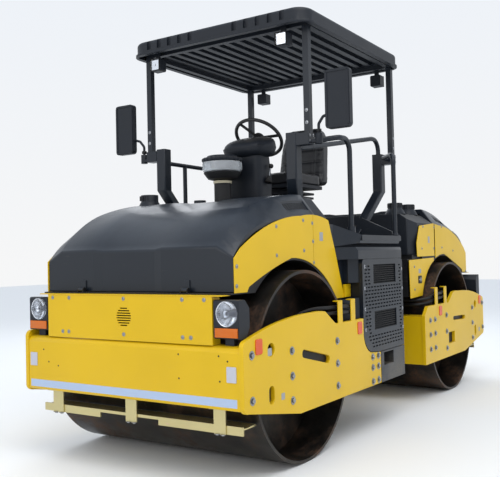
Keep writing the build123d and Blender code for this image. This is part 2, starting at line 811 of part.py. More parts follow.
def seat_back():
    """Tall tapered back rest, rounded at its top."""
    face = rounded([(-245, 0, 40), (245, 0, 40), (235, 330, 60), (165, 545, 110), (-165, 545, 110),
                    (-235, 330, 60)])
    plane = Plane(origin=(seat_x - 233.5 - running_gap, 0, cushion_z + 10), x_dir=(0, -1, 0),
                  z_dir=(-cos(radians(10)), 0, -sin(radians(10))))
    return extrude(plane * face, amount=105)


# Protective frame, canopy and what hangs on them

def column(points, size):
    """Box column with mitred bends through the given (x, y, z) points."""
    half = size / 2
    solid = None
    for low, high in zip(points, points[1:]):
        faces = []
        for x, y, z in (low, high):
            faces.append(Plane(origin=(x, y, z)) * RectangleRounded(size, size, size * 0.12))
        piece = loft(faces, ruled=True)
        solid = piece if solid is None else solid + piece
    return solid


def front_column():
    foot = (front_column_x - 0.6 * (column_kink - 1722), column_y - 0.3 * (column_kink - 1722), 1722)
    return column([foot, (front_column_x, column_y, column_kink), (front_column_x, column_y, column_top)],
                  column_size)


def rear_column():
    fall = column_kink - platform_top
    foot_x, foot_y = rear_column_x + 0.72 * fall, column_y - 0.28 * fall
    solid = column([(foot_x, foot_y, platform_top), (rear_column_x, column_y, column_kink),
                    (rear_column_x, column_y, column_top)], column_size)
    gusset = make_face(Polyline((foot_y, platform_top), (foot_y + 330, platform_top),
                                (foot_y + 330, platform_top + 40),
                                (foot_y + 60, platform_top + 165), (foot_y, platform_top + 165), close=True))
    return solid + front_slab(gusset, foot_x - 30, foot_x - 10)


def canopy_post(x, column_x):
    """Thin square post with the bracket that bolts it to its column."""
    post = block(x - post_size / 2, x + post_size / 2, post_y - post_size / 2, post_y + post_size / 2,
                 post_bottom,
                 canopy_bottom - roof_frame_depth)
    post += block(min(x, column_x) - 40, max(x, column_x) + 40, column_y + column_size / 2,
                  post_y + post_size / 2 - 1,
                  post_bottom - 5, column_top - 10)
    return post


def canopy():
    """Moulded roof: a rounded tray turned down at its edge, with a frame below and a notched fascia."""
    length = canopy_front - canopy_rear
    middle = (canopy_front + canopy_rear) / 2
    width = 2 * canopy_half_width
    low, high = canopy_bottom - 40, canopy_top
    body = Pos(middle, 0, (low + high) / 2) * extrude(RectangleRounded(length, width, 120),
                                                      (high - low) / 2, both=True)
    top = body.faces().sort_by(Axis.Z)[-1].edges()
    body = fillet(top, 30)
    lip_rim = RectangleRounded(length + 2 * canopy_lip, width + 2 * canopy_lip, 130)
    body += Pos(middle, 0, low + 9) * extrude(lip_rim, 9, both=True)
    hollow = Pos(middle, 0, (low + canopy_bottom) / 2 - 1) * extrude(
        RectangleRounded(length - 60, width - 60, 36), (canopy_bottom - low) / 2 + 1, both=True)
    body -= hollow
    cuts = []
    rib_pitch = 100
    for number in range(-6, 7):
        y = number * rib_pitch
        cuts.append(block(rear_post_x + 60, front_post_x - 60, y - 26, y + 26, canopy_bottom - 1,
                          canopy_bottom + 30))
        if number in (-1, 0, 1):
            continue
        for x in (canopy_front + 6, canopy_rear - 6):
            cuts.append(block(x - 26, x + 26, y - 20, y + 20, low + 34, high + 5))
    body -= cuts
    for y in (-post_y, post_y):
        body += block(rear_post_x, front_post_x, y - post_size / 2, y + post_size / 2,
                      canopy_bottom - roof_frame_depth, canopy_bottom)
    for x in (rear_post_x, front_post_x):
        body += block(x - post_size / 2, x + post_size / 2, -post_y - post_size / 2, post_y + post_size / 2,
                      canopy_bottom - roof_frame_depth, canopy_bottom)
    return body


def work_lamps():
    """Four square work lamps under the canopy's edge."""
    lamps = []
    z = work_lamp_z
    for x, y in work_lamp_spots:
        lamp = block(x - 38, x + 38, y - 48, y + 48, z - 48, z + 48)
        lamp = fillet(lamp.edges().filter_by(Axis.X), 12)
        top = canopy_bottom if x > 0 else work_lamp_stem
        lamp += block(x - 8, x + 8, y - 20, y + 20, z + 40, top)
        lamps.append(lamp)
    return lamps


def mirror_set():
    """Mirror head on a bent arm from the front post's bracket."""
    head_x, head_y = 1130, 960
    head = RectangleRounded(185, 400, 28)
    shell = front_slab(Pos(head_y, 2365) * head, head_x - 22, head_x + 22)
    arm = pipe([(1105, 792, 2120), (1105, 792, 2215), (1110, 830, 2262), (1105, 930, 2290),
                (1096, 945, 2380),
                (1130, 945, 2385)], [25, 25, 25, 25], 10)
    base = rod_z(1105, 792, 2080, 2150, 26)
    base += block(1082, 1127, post_y + post_size / 2, 800, 2090, 2110)
    return shell + arm + base


def near_rail():
    """Grab rail from the front post's bracket back and down to the platform's wing."""
    rail = pipe([(front_post_x - 40, 690, 2128), (960, 690, 2128), (860, 822, 2150), (690, 822, 2158),
                 (690, 822, platform_top + 4)], [60, 60, 90], rail_radius)
    collar = rod_z(690, 822, platform_top + 4, platform_top + 60, rail_radius + 12)
    return rail + collar - platform()


def hip_rail():
    """Long rail from the front column back and down to the top of the rear column."""
    x0, x1 = front_column_x - column_size / 2, rear_column_x
    return pipe([(x0, column_y, 2085), (x0 - 80, column_y, 2085), (x1 + 140, column_y, 2296),
                 (x1, column_y, 2300),
                 (x1, column_y, column_top)], [200, 60, 100], rail_radius)


def rear_rail():
    """Upright grab rail at the platform's rear corner."""
    return pipe([(rear_post_x + 40, 690, 2125), (rear_post_x + 120, 690, 2125),
                 (platform_rear + 25, rail_y, 2125),
                 (platform_rear + 25, rail_y, platform_top)], [60, 70], rail_radius)


def far_rail():
    """Level rail behind the right front column with a post under it."""
    rail = pipe([(front_column_x - column_size / 2, -column_y, 2068), (180, -column_y, 2068),
                 (180, -column_y, platform_top)], [110], rail_radius - 2)
    return rail + rod_z(840, -column_y, platform_top, 2068, rail_radius - 2)


def pre_cleaner():
    """Air pre-cleaner: intake tube, clamp, clear bowl and lid."""
    x, y = cleaner_x, cleaner_y
    body = rod_z(x, y, cowl_top, 1900, cleaner_tube_radius) + rod_z(x, y, 1872, 1892,
                                                                    cleaner_tube_radius + 5)
    body += Pos(x, y, 1925) * Cone(110, 142, 50)
    body += rod_z(x, y, 1950, 2040, 150)
    body += Pos(x, y, 2062) * Cone(158, 120, 44)
    return body


def filler_cap(x, y, base_z):
    """Screw cap on a domed neck."""
    neck = Pos(x, y, base_z + 12) * Cone(96, 68, 50)
    cap = rod_z(x, y, base_z + 37, base_z + 90, 66)
    return neck + cap


# Rear frame

def rear_cross():
    """Cross member at the rear frame's front with the swivel's bearing housing."""
    box = block(-600, cross_rear, -plate_inner_y, plate_inner_y, plate_bottom, plate_shoulder - 90)
    box += rod_x(-560, cross_rear - 8, 0, swivel_height, swivel_radius + 55)
    return box - rod_x(-500, -900, 0, swivel_height, swivel_radius + running_gap)


def rear_upper_frame():
    """Box frame that carries the tank and covers above the cross member."""
    side = outline((-570, 930), to(-570, tank_bottom - 36), to(tank_front - 8, tank_bottom - 36),
                   to(tank_front - 8, tank_bottom), to(560 - half_base, tank_bottom),
                   to(560 - half_base, 1100),
                   to(-760, 930))
    frame = side_slab(side, -750, 750)
    frame += block(-640, -760, -600, 600, plate_shoulder - 90, 930)
    return frame


def tank():
    """Moulded water tank in front of the rear hood."""
    plan = rounded([(tank_front, 716, 20), (tank_front, -716, 20), (tank_front - 118, -764, 20),
                    (tank_rear, -764, 6),
                    (tank_rear, 764, 6), (tank_front - 118, 764, 20)])
    body = flat_slab(plan, tank_bottom, tank_top)
    crown = front_slab(rounded([(-764, tank_bottom, 1), (-764, 1585, 10), (-642, tank_top, 30),
                                (642, tank_top, 30),
                                (764, 1585, 10), (764, tank_bottom, 1)]), tank_rear - 10, tank_front + 10)
    return body & crown


# Scrapers and hoses

def scraper(reach):
    """Scraper bar and blade below the beam, on three straps bolted to the beam."""
    bar_x = reach - scraper_inset
    wide = scraper_half_width
    bar = block(bar_x - 6, bar_x + 6, -wide, wide, scraper_top - 18, scraper_top)
    for inner, outer in ((-wide, -294), (193, wide)):
        bar += block(bar_x - 6, bar_x + 6, inner, outer, scraper_bottom, scraper_top)
    bar += block(bar_x - 40, bar_x, -wide, wide, scraper_top - 18, scraper_top - 10)
    drop = axle_z - scraper_top
    drum_x = sqrt((drum_radius + scraper_gap)**2 - drop**2)
    blade = outline((drum_x + 2, scraper_top - 4), to(bar_x - 30, scraper_top - 12),
                    to(bar_x - 30, scraper_top - 18),
                    to(drum_x - 2, scraper_top - 16), to(drum_x - 8, scraper_top - 14))
    bar += side_slab(blade, -wide, wide) - rod_y(0, -machine_width, machine_width, axle_z,
                                                 drum_radius + scraper_gap)
    for inner, outer in strap_rows:
        bar += block(bar_x + 5, bar_x + 13, inner, outer, scraper_bottom, beam_bottom)
        bar += block(bar_x + 5, bar_x + 60, inner, outer, beam_bottom - 8, beam_bottom)
    return bar


def hose(points):
    """Hose along a route, with each bend as wide as its two runs allow."""
    corners = [Vector(*point) for point in points]
    radii = []
    for before, here, after in zip(corners, corners[1:], corners[2:]):
        turn = radians((here - before).get_angle(after - here))
        shorter = min((here - before).length, (after - here).length)
        radii.append(0.45 * shorter / tan(turn / 2))
    return pipe(points, radii, hose_radius)


def front_hoses():
    """Two hoses from the drum motor over the side plate to the cabinet's front face."""
    cabinets = Pos(-half_base, 0, 0) * cabinet()
    hoses = []
    for start, level in ((-20, 955), (60, 915)):
        route = hose([(start, hose_y - 166, axle_z + motor_radius - 6), (start - 6, hose_y - 164, 850),
                      (start - 80, hose_y - 136, level - 30),
                      (-200, hose_y - 76, level), (-330, hose_y - 21, level), (-470, hose_y, level),
                      (-600, hose_y, level - 6),
                      (-700, hose_y - 31, level - 14), (-790, hose_y - 96, level - 18)])
        hoses.append(route - drum_carrier() - cabinets)
    return hoses


def rear_hoses():
    """Two hoses from the drum motor over the side plate and in to the rear frame's box."""
    hoses = []
    for start, level in ((-20, 940), (60, 900)):
        route = hose([(start, hose_y - 166, axle_z + motor_radius - 6), (start - 6, hose_y - 164, 850),
                      (start - 70, hose_y - 131, level - 20),
                      (-170, hose_y - 66, level), (-280, hose_y - 6, level), (-420, hose_y, level),
                      (-540, hose_y, level - 8),
                      (-640, hose_y - 36, level - 40), (-700, hose_y - 126, level - 52),
                      (-700, hose_y - 266, level - 52)])
        hoses.append(route - drum_carrier())
    return hoses


if __name__ == "__main__":
    save("front_side_plates", both_sides(front_plate()), at_front)
    save("front_beam", end_beam(front_overhang), at_front)
    save("front_panel", end_panel(front_overhang), at_front)
    save("headlamps", both_sides(lamp_housing(front_overhang)), at_front)
    save("headlamp_glasses", both_sides(lamp_glass(front_overhang)), at_front)
    save("indicators", both_sides(indicator(front_overhang)), at_front)
    save("front_deck", arch_deck(front_hood_reach), at_front)
    save("engine", engine_block(), at_front)
    save("front_covers", both_sides(front_covers()), at_front)
    save("front_hood", hood(front_hood_reach, front_hood_end, front_hood_window), at_front)
    save("front_filler_cap", filler_cap(-179, -600, 1712) - hood_body(front_hood_reach, front_hood_end, 0),
         at_front)
    save("front_drum", drum(), at_front)
    save("front_drum_carriers", both_sides(drum_carrier()), at_front)
    save("front_scraper", scraper(front_overhang), at_front)
    save("front_hoses", [one for hose_piece in front_hoses() for one in both_sides(hose_piece)], at_front)
    save("centre_frame", centre_frame(), at_middle)
    save("cabinets", both_sides(cabinet()), at_middle)
    save("cabinet_grilles", both_sides(grille()), at_middle)
    save("platform", platform(), at_middle)
    save("cowl", cowl(), at_middle)
    save("console", console(), at_middle)
    save("steering_wheel", steering_wheel(), at_middle)
    save("seat_base", seat_base(), at_middle)
    save("seat_cushion", seat_cushion(), at_middle)
    save("seat_back", seat_back(), at_middle)
    save("columns", both_sides(front_column()) + both_sides(rear_column()), at_middle)
    posts = both_sides(canopy_post(front_post_x, front_column_x))
    posts += both_sides(canopy_post(rear_post_x, rear_column_x))
    save("canopy_posts", posts, at_middle)
    save("canopy", canopy(), at_middle)
    save("work_lamps", work_lamps(), at_middle)
    save("mirrors", both_sides(mirror_set()), at_middle)
    save("handrails", [near_rail(), rear_rail(), hip_rail(), far_rail(), right_of(rear_rail())], at_middle)
    save("pre_cleaner", pre_cleaner(), at_middle)
    save("yoke", yoke(), at_middle)
    for side, word in ((1, "left"), (-1, "right")):
        save(f"steering_barrel_{word}", barrel(side), at_middle)
        save(f"steering_rod_{word}", cylinder_rod(side), at_middle)
    save("rear_side_plates", both_sides(rear_plate()), at_rear)
    save("rear_cross", rear_cross(), at_middle)
    save("rear_upper_frame", rear_upper_frame(), at_middle)
    save("rear_beam", end_beam(rear_overhang), at_rear)
    save("rear_panel", end_panel(rear_overhang), at_rear)
    save("rear_lamps", both_sides(lamp_housing(rear_overhang)), at_rear)
    save("rear_deck", arch_deck(rear_hood_reach), at_rear)
    save("rear_covers", [one for piece in rear_covers() for one in both_sides(piece)], at_rear)
    save("rear_hood", hood(rear_hood_reach, rear_hood_end, rear_hood_window), at_rear)
    save("tank", tank(), at_middle)
    save("tank_caps", [filler_cap(x, y, tank_top + 13) for x, y in cap_spots], at_middle)
    save("rear_drum", drum(), at_rear)
    save("rear_drum_carriers", both_sides(drum_carrier()), at_rear)
    save("rear_scraper", scraper(rear_overhang), at_rear)
    save("rear_hoses", [one for hose_piece in rear_hoses() for one in both_sides(hose_piece)], at_rear)
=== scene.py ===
# %% [markdown]
# # A tandem vibratory roller
# The machine stands on two steel drums, and its frame bends in the middle to steer. The CAD model gives
# every rigid piece its true shape and place. This lesson dresses that model: it sets up the camera, makes
# the paints, plastics, steel and rubber, and adds the small things that a CAD model leaves out, such as
# bolts, lamp lenses, reflectors and the padded seat.
# The CAD pieces could be imported by hand, but loading them as a fixed frame keeps every new piece in the
# same coordinates, in metres, with nothing to fit by eye.

# %% Load the frame
import json
import math

import bmesh
import bpy
from mathutils import Matrix, Vector


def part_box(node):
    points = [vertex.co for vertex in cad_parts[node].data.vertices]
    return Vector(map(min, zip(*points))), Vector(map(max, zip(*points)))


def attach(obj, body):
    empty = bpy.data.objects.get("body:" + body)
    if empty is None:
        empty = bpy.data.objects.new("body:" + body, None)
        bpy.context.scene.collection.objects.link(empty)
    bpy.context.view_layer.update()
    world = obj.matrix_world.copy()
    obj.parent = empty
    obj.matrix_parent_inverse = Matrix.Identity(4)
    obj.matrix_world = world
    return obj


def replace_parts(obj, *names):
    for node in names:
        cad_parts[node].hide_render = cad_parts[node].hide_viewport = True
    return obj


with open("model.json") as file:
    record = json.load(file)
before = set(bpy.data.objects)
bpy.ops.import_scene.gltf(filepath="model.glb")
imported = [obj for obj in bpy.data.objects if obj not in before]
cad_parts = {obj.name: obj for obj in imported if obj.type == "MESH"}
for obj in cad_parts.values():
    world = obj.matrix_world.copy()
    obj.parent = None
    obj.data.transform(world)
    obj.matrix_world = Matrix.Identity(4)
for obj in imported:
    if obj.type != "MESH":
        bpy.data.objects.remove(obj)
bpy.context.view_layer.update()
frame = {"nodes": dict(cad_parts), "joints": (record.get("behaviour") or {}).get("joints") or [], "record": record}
record = frame["record"]

# %% [markdown]
# ## The camera
# The reference picture was taken from the front left at about chest height, with a longish lens. The
# place, direction and lens below were solved from the outlines of the two drums and the side plates. A
# camera can be aimed with a Track To constraint, but a matrix built from yaw, pitch and roll holds the
# slight tilt of the picture too.

# %% Camera
camera_place = Vector((5.6547, 3.1572, 1.3098))
camera_yaw, camera_pitch, camera_roll = 3.722465, 0.0252629, -0.0223414
lens_mm, sensor_mm = 53.167, 36


def place_object(name, data):
    """A new object in the scene that shows the data."""
    new = bpy.data.objects.new(name, data)
    bpy.context.collection.objects.link(new)
    return new


aim = Vector((math.cos(camera_yaw) * math.cos(camera_pitch),
              math.sin(camera_yaw) * math.cos(camera_pitch), math.sin(camera_pitch)))
level = aim.cross(Vector((0, 0, 1))).normalized()
upright = level.cross(aim)
across = level * math.cos(camera_roll) + upright * math.sin(camera_roll)
above = upright * math.cos(camera_roll) - level * math.sin(camera_roll)
turn = Matrix((across, above, -aim)).transposed().to_4x4()

camera_data = bpy.data.cameras.new("camera")
camera_data.lens = lens_mm
camera_data.sensor_width = sensor_mm
camera_data.clip_end = 100
camera = place_object("camera", camera_data)
camera.matrix_world = Matrix.Translation(camera_place) @ turn
bpy.context.scene.camera = camera
print("camera distance", round(camera_place.length, 2), "m")

# %% [markdown]
# ## Floor and light
# The floor is one pale sheet. The light is a bright overcast sky: a white world that turns pale blue
# overhead, one very large soft lamp high at the front left, a weak one at the front right, and one behind
# that picks out the roof and posts. Sun lamps would give hard shadows, and the picture has none.

# %% Floor, world and lamps
floor_size = 60
floor_shape = bmesh.new()
bmesh.ops.create_grid(floor_shape, x_segments=2, y_segments=2, size=floor_size / 2)
floor_mesh = bpy.data.meshes.new("floor")
floor_shape.to_mesh(floor_mesh)
place_object("floor", floor_mesh)

floor_paint = bpy.data.materials.new("floor_paint")
floor_paint.use_nodes = True
floor_shader = floor_paint.node_tree.nodes["Principled BSDF"]
floor_shader.inputs["Base Color"].default_value = (0.88, 0.88, 0.87, 1)
floor_shader.inputs["Roughness"].default_value = 0.85
floor_mesh.materials.append(floor_paint)

horizon_colour, zenith_colour = (0.97, 0.975, 0.98, 1), (0.78, 0.87, 1.0, 1)
sky_strength = 0.95
world = bpy.data.worlds.new("overcast")
bpy.context.scene.world = world
world.use_nodes = True
sky = world.node_tree
sky.nodes.clear()
sky_out, sky_light, sky_ramp, sky_split, sky_place = (
    sky.nodes.new("ShaderNode" + kind)
    for kind in ("OutputWorld", "Background", "ValToRGB", "SeparateXYZ", "TexCoord"))
sky.links.new(sky_place.outputs["Generated"], sky_split.inputs[0])
sky.links.new(sky_split.outputs["Z"], sky_ramp.inputs["Fac"])
sky.links.new(sky_ramp.outputs["Color"], sky_light.inputs["Color"])
sky.links.new(sky_light.outputs[0], sky_out.inputs["Surface"])
for stop, position, colour in zip(sky_ramp.color_ramp.elements, (0.0, 0.9), (horizon_colour, zenith_colour)):
    stop.position = position
    stop.color = colour
sky_light.inputs["Strength"].default_value = sky_strength


def soft_lamp(name, place, size, power, colour):
    """A large square lamp at place, aimed at the middle of the machine."""
    data = bpy.data.lights.new(name, "AREA")
    data.shape = "SQUARE"
    data.size = size
    data.energy = power
    data.color = colour
    lamp = place_object(name, data)
    lamp.location = place
    lamp.rotation_euler = (Vector((0, 0, 1)) - Vector(place)).to_track_quat("-Z", "Y").to_euler()


soft_lamp("sky_lamp", (3.5, 3.5, 8.0), 6.0, 330, (1.0, 0.98, 0.95))
soft_lamp("front_lamp", (8.0, -1.5, 3.5), 4.0, 60, (1.0, 0.97, 0.93))
soft_lamp("back_lamp", (-5.0, -4.0, 6.0), 5.0, 150, (0.93, 0.96, 1.0))
bpy.context.scene.view_settings.view_transform = "Standard"
bpy.context.scene.view_settings.look = "None"

# %% [markdown]
# ## Shared surface effects
# Paint on a working machine isn't one even colour. It has a faint orange-peel grain, dust that settles on
# level faces and low down, and scuffs where boots and stones reach. On the hood the level-face term is
# pale blue and paints the sky's reflection on its upper faces, not dust. Each of these three effects is one
# node group, built once. A group gives back only colours, masks and heights, and every finish below
# places it with its own values. The effects could be painted as images, but nodes stay sharp at any
# distance and need no unwrapping.

# %% Helpers that make nodes
mix_colour_a, mix_colour_b, mix_colour_out = 6, 7, 2


def new_group(name, inputs, outputs):
    """An empty node group. An input is None for a vector, or its default colour or number."""
    tree = bpy.data.node_groups.new(name, "ShaderNodeTree")
    for socket_name, value in inputs.items():
        kind = "Vector" if value is None else "Color" if isinstance(value, tuple) else "Float"
        socket = tree.interface.new_socket(socket_name, in_out="INPUT", socket_type="NodeSocket" + kind)
        if value is not None:
            socket.default_value = value
    for socket_name, kind in outputs.items():
        tree.interface.new_socket(socket_name, in_out="OUTPUT", socket_type="NodeSocket" + kind)
    return tree, tree.nodes.new("NodeGroupInput").outputs, tree.nodes.new("NodeGroupOutput")


def feed(tree, node, values):
    """Fills inputs of a node. A socket is linked, anything else is set on the input itself."""
    for name, value in values.items():
        if isinstance(value, bpy.types.NodeSocket):
            tree.links.new(value, node.inputs[name])
        else:
            node.inputs[name].default_value = value


def new_math(tree, operation, first, second, clamp=False):
    """One Math node. first and second are sockets or numbers."""
    node = tree.nodes.new("ShaderNodeMath")
    node.operation = operation
    node.use_clamp = clamp
    feed(tree, node, {0: first, 1: second})
    return node.outputs[0]


def new_noise(tree, vector, scale, detail=3.0, roughness=0.55):
    """A noise texture. scale is a number or a socket."""
    node = tree.nodes.new("ShaderNodeTexNoise")
    feed(tree, node, {"Vector": vector, "Scale": scale, "Detail": detail, "Roughness": roughness})
    return node.outputs["Fac"]


def new_ramp(tree, value, low, high, reach=(0.0, 1.0)):
    """A smooth step from reach[0] to reach[1] as value goes from low to high."""
    node = tree.nodes.new("ShaderNodeMapRange")
    node.interpolation_type = "SMOOTHSTEP"
    feed(tree, node, {"Value": value, "From Min": low, "From Max": high,
                      "To Min": reach[0], "To Max": reach[1]})
    return node.outputs["Result"]


def new_mix(tree, factor, first, second):
    """A colour mix. first and second are sockets or colours."""
    node = tree.nodes.new("ShaderNodeMix")
    node.data_type = "RGBA"
    feed(tree, node, {"Factor": factor, mix_colour_a: first, mix_colour_b: second})
    return node.outputs[mix_colour_out]


def height_of(tree, vector):
    """The Z part of a vector."""
    node = tree.nodes.new("ShaderNodeSeparateXYZ")
    tree.links.new(vector, node.inputs[0])
    return node.outputs["Z"]


# %% The dust group, which on the hood also paints a sky reflection
dust_and_sheen_group, source, sink = new_group(
    "settled_dust_and_sheen", {"Place": None, "Colour": (0.5, 0.5, 0.5, 1), "Dust And Sheen Colour": (0.42, 0.36, 0.27, 1),
                     "Low Dust": 0.4, "Top Dust And Sheen": 0.15, "Reach": 0.7}, {"Colour": "Color", "Mask": "Float"})
facing = dust_and_sheen_group.nodes.new("ShaderNodeNewGeometry").outputs["Normal"]
cloud = new_noise(dust_and_sheen_group, source["Place"], 5.0, 5.0, 0.62)
speck = new_noise(dust_and_sheen_group, source["Place"], 90.0, 2.0)
height_share = new_ramp(dust_and_sheen_group, height_of(dust_and_sheen_group, source["Place"]), 0.0, source["Reach"], (1.0, 0.0))
cloud_share = new_ramp(dust_and_sheen_group, cloud, 0.35, 0.68)
low_dust = new_math(dust_and_sheen_group, "MULTIPLY", height_share, cloud_share)
low_dust = new_math(dust_and_sheen_group, "MULTIPLY", low_dust, source["Low Dust"])
# Upward faces: settled dust for most finishes, and for the hood a painted sky reflection.
top_share = new_ramp(dust_and_sheen_group, height_of(dust_and_sheen_group, facing), 0.55, 0.95)
top_dust_and_sheen = new_math(dust_and_sheen_group, "MULTIPLY", top_share, source["Top Dust And Sheen"])
cloud_lift = new_math(dust_and_sheen_group, "ADD", cloud_share, 0.35, clamp=True)
top_dust_and_sheen = new_math(dust_and_sheen_group, "MULTIPLY", top_dust_and_sheen, cloud_lift)
dust_and_sheen_sum = new_math(dust_and_sheen_group, "ADD", low_dust, top_dust_and_sheen)
speck_share = new_ramp(dust_and_sheen_group, speck, 0.3, 0.7, (0.7, 1.1))
dust_and_sheen_mask = new_math(dust_and_sheen_group, "MULTIPLY", dust_and_sheen_sum, speck_share, clamp=True)
dusted_and_sheened = new_mix(dust_and_sheen_group, dust_and_sheen_mask, source["Colour"], source["Dust And Sheen Colour"])
feed(dust_and_sheen_group, sink, {"Colour": dusted_and_sheened, "Mask": dust_and_sheen_mask})

# %% The grain group
grain_group, source, sink = new_group(
    "fine_grain", {"Place": None, "Scale": 300.0, "Roughness": 0.4, "Spread": 0.08},
    {"Height": "Float", "Roughness": "Float"})
grain = new_noise(grain_group, source["Place"], source["Scale"], 2.0, 0.5)
patch = new_noise(grain_group, source["Place"], 3.5, 4.0, 0.6)
patch_shift = new_math(grain_group, "SUBTRACT", patch, 0.5)
patch_shift = new_math(grain_group, "MULTIPLY", patch_shift, source["Spread"])
patch_shift = new_math(grain_group, "MULTIPLY", patch_shift, 2.0)
grain_rough = new_math(grain_group, "ADD", patch_shift, source["Roughness"], clamp=True)
feed(grain_group, sink, {"Height": grain, "Roughness": grain_rough})

# %% The scuff group
scuff_group, source, sink = new_group("scuffs", {"Place": None, "Scale": 9.0, "Stretch": 6.0, "Amount": 0.3},
                                      {"Mask": "Float"})
stretch = scuff_group.nodes.new("ShaderNodeCombineXYZ")
feed(scuff_group, stretch, {"X": 1.0, "Y": 1.0, "Z": source["Stretch"]})
longer = scuff_group.nodes.new("ShaderNodeVectorMath")
longer.operation = "MULTIPLY"
feed(scuff_group, longer, {0: source["Place"], 1: stretch.outputs[0]})
streak = new_noise(scuff_group, longer.outputs[0], source["Scale"], 7.0, 0.68)
spread = new_noise(scuff_group, source["Place"], 2.3, 2.0)
scuff_mask = new_math(scuff_group, "MULTIPLY", new_ramp(scuff_group, streak, 0.62, 0.70),
                      new_ramp(scuff_group, spread, 0.45, 0.65))
scuff_mask = new_math(scuff_group, "MULTIPLY", scuff_mask, source["Amount"], clamp=True)
feed(scuff_group, sink, {"Mask": scuff_mask})
print("groups", [g.name for g in bpy.data.node_groups])

# %% [markdown]
# ## Finishes
# Every finish follows one recipe: base colour, scuffs, dust, then grain for roughness and bump. One
# function with named values keeps them alike and short. What differs much, such as the drum's rusty
# steel or the lamp glass, gets cells of its own after it. Object coordinates are used, because a piece
# then keeps its pattern when its body moves.

# %% The recipe for painted and moulded surfaces
scuff_brown, dust_brown = (0.3, 0.27, 0.22, 1), (0.42, 0.36, 0.27, 1)
paint_dust_reach, coat_roughness, darker_share = 0.8, 0.12, 0.93


def new_material(name):
    """A material, its tree and shader, and the object coordinates that place its patterns."""
    material = bpy.data.materials.new(name)
    material.use_nodes = True
    tree = material.node_tree
    where = tree.nodes.new("ShaderNodeTexCoord").outputs["Object"]
    return material, tree, tree.nodes["Principled BSDF"], where


def place_group(tree, group, values):
    """Places a group in a material and gives back its outputs."""
    node = tree.nodes.new("ShaderNodeGroup")
    node.node_tree = group
    feed(tree, node, values)
    return node.outputs


def new_relief(tree, height, strength, distance):
    """The normal of a bump."""
    node = tree.nodes.new("ShaderNodeBump")
    feed(tree, node, {"Strength": strength, "Distance": distance, "Height": height})
    return node.outputs["Normal"]


def new_finish(name, colour, roughness, metallic=0.0, coat=0.0, grain=320.0, bump=0.12, spread=0.08,
               low_dust=0.35, top_dust_and_sheen=0.12, scuff=0.25, scuff_colour=scuff_brown, dust=dust_brown,
               specular=0.5):
    """A material with scuffs, dust and grain over one base colour. On the hood, the top dust paints a pale blue
    sky reflection on upward faces.
    """
    material, tree, shader, where = new_material(name)
    scuffs = place_group(tree, scuff_group, {"Amount": scuff, "Place": where})
    tone = new_ramp(tree, new_noise(tree, where, 1.7, 3.0), 0.3, 0.7)
    darker = tuple(darker_share * channel for channel in colour)
    base = new_mix(tree, tone, colour + (1,), darker + (1,))
    base = new_mix(tree, scuffs["Mask"], base, scuff_colour)
    dusting = place_group(tree, dust_and_sheen_group, {"Low Dust": low_dust, "Top Dust And Sheen": top_dust_and_sheen, "Dust And Sheen Colour": dust,
                                             "Reach": paint_dust_reach, "Place": where, "Colour": base})
    grains = place_group(tree, grain_group, {"Scale": grain, "Roughness": roughness, "Spread": spread,
                                             "Place": where})
    duller = new_math(tree, "MULTIPLY", dusting["Mask"], 0.4)
    rough = new_math(tree, "ADD", grains["Roughness"], duller, clamp=True)
    feed(tree, shader, {"Base Color": dusting["Colour"], "Roughness": rough, "Metallic": metallic,
                        "Normal": new_relief(tree, grains["Height"], bump, 0.0006),
                        "Specular IOR Level": specular, "Coat Weight": coat, "Coat Roughness": coat_roughness})
    return material


# %% The finishes by name
painted = {
    "yellow_paint": ((0.70, 0.445, 0.003), 0.38, dict(coat=0.08, low_dust=0.05, top_dust_and_sheen=0.02, scuff=0.08,
                                                      specular=0.28)),
    "slate_paint": ((0.007, 0.011, 0.018), 0.42, dict(coat=0.1, low_dust=0.4, top_dust_and_sheen=0.10, scuff=0.35,
                                                      specular=0.35)),
    "slate_plastic": ((0.008, 0.011, 0.017), 0.5, dict(grain=520, bump=0.3, low_dust=0.2, top_dust_and_sheen=0.10,
                                                       scuff=0.1, specular=0.35)),
    # The hood's pale blue top layer is a painted sky reflection on its upward faces, not dust.
    "hood_plastic": ((0.009, 0.013, 0.020), 0.36, dict(coat=0.1, grain=420, bump=0.1, low_dust=0.0,
                                                       top_dust_and_sheen=0.07, scuff=0.05, specular=0.35,
                                                       dust=(0.20, 0.24, 0.30, 1))),
    "zinc_steel": ((0.60, 0.52, 0.26), 0.3, dict(metallic=0.8, low_dust=0.1, scuff=0.9,
                                                 scuff_colour=(0.62, 0.36, 0.34, 1))),
    "bright_steel": ((0.30, 0.31, 0.33), 0.3, dict(metallic=0.9, low_dust=0.2)),
    "chrome_rod": ((0.75, 0.76, 0.78), 0.12, dict(metallic=1.0, bump=0.02, scuff=0.05, low_dust=0.1)),
    "black_rubber": ((0.009, 0.009, 0.010), 0.55, dict(grain=700, bump=0.25, low_dust=0.15, top_dust_and_sheen=0.08,
                                                       scuff=0.1, specular=0.35)),
    "black_steel": ((0.009, 0.009, 0.010), 0.5, dict(low_dust=0.15, scuff=0.2, specular=0.3)),
    "wheel_plastic": ((0.015, 0.015, 0.016), 0.5, dict(grain=650, bump=0.2)),
    "black_plastic": ((0.006, 0.006, 0.007), 0.5, dict(grain=600, bump=0.25, top_dust_and_sheen=0.04, specular=0.3)),
    "seat_cover": ((0.009, 0.010, 0.013), 0.45, dict(grain=260, bump=0.45, coat=0.05, top_dust_and_sheen=0.08,
                                                     scuff=0.1)),
    "cast_engine": ((0.10, 0.10, 0.10), 0.6, dict(metallic=0.3, grain=150, bump=0.5)),
    "cream_band": ((0.66, 0.60, 0.42), 0.45, dict(grain=500)),
    "white_plate": ((0.50, 0.51, 0.58), 0.4, dict(low_dust=0.15)),
    "grey_label": ((0.32, 0.33, 0.34), 0.45, dict(low_dust=0.15)),
}
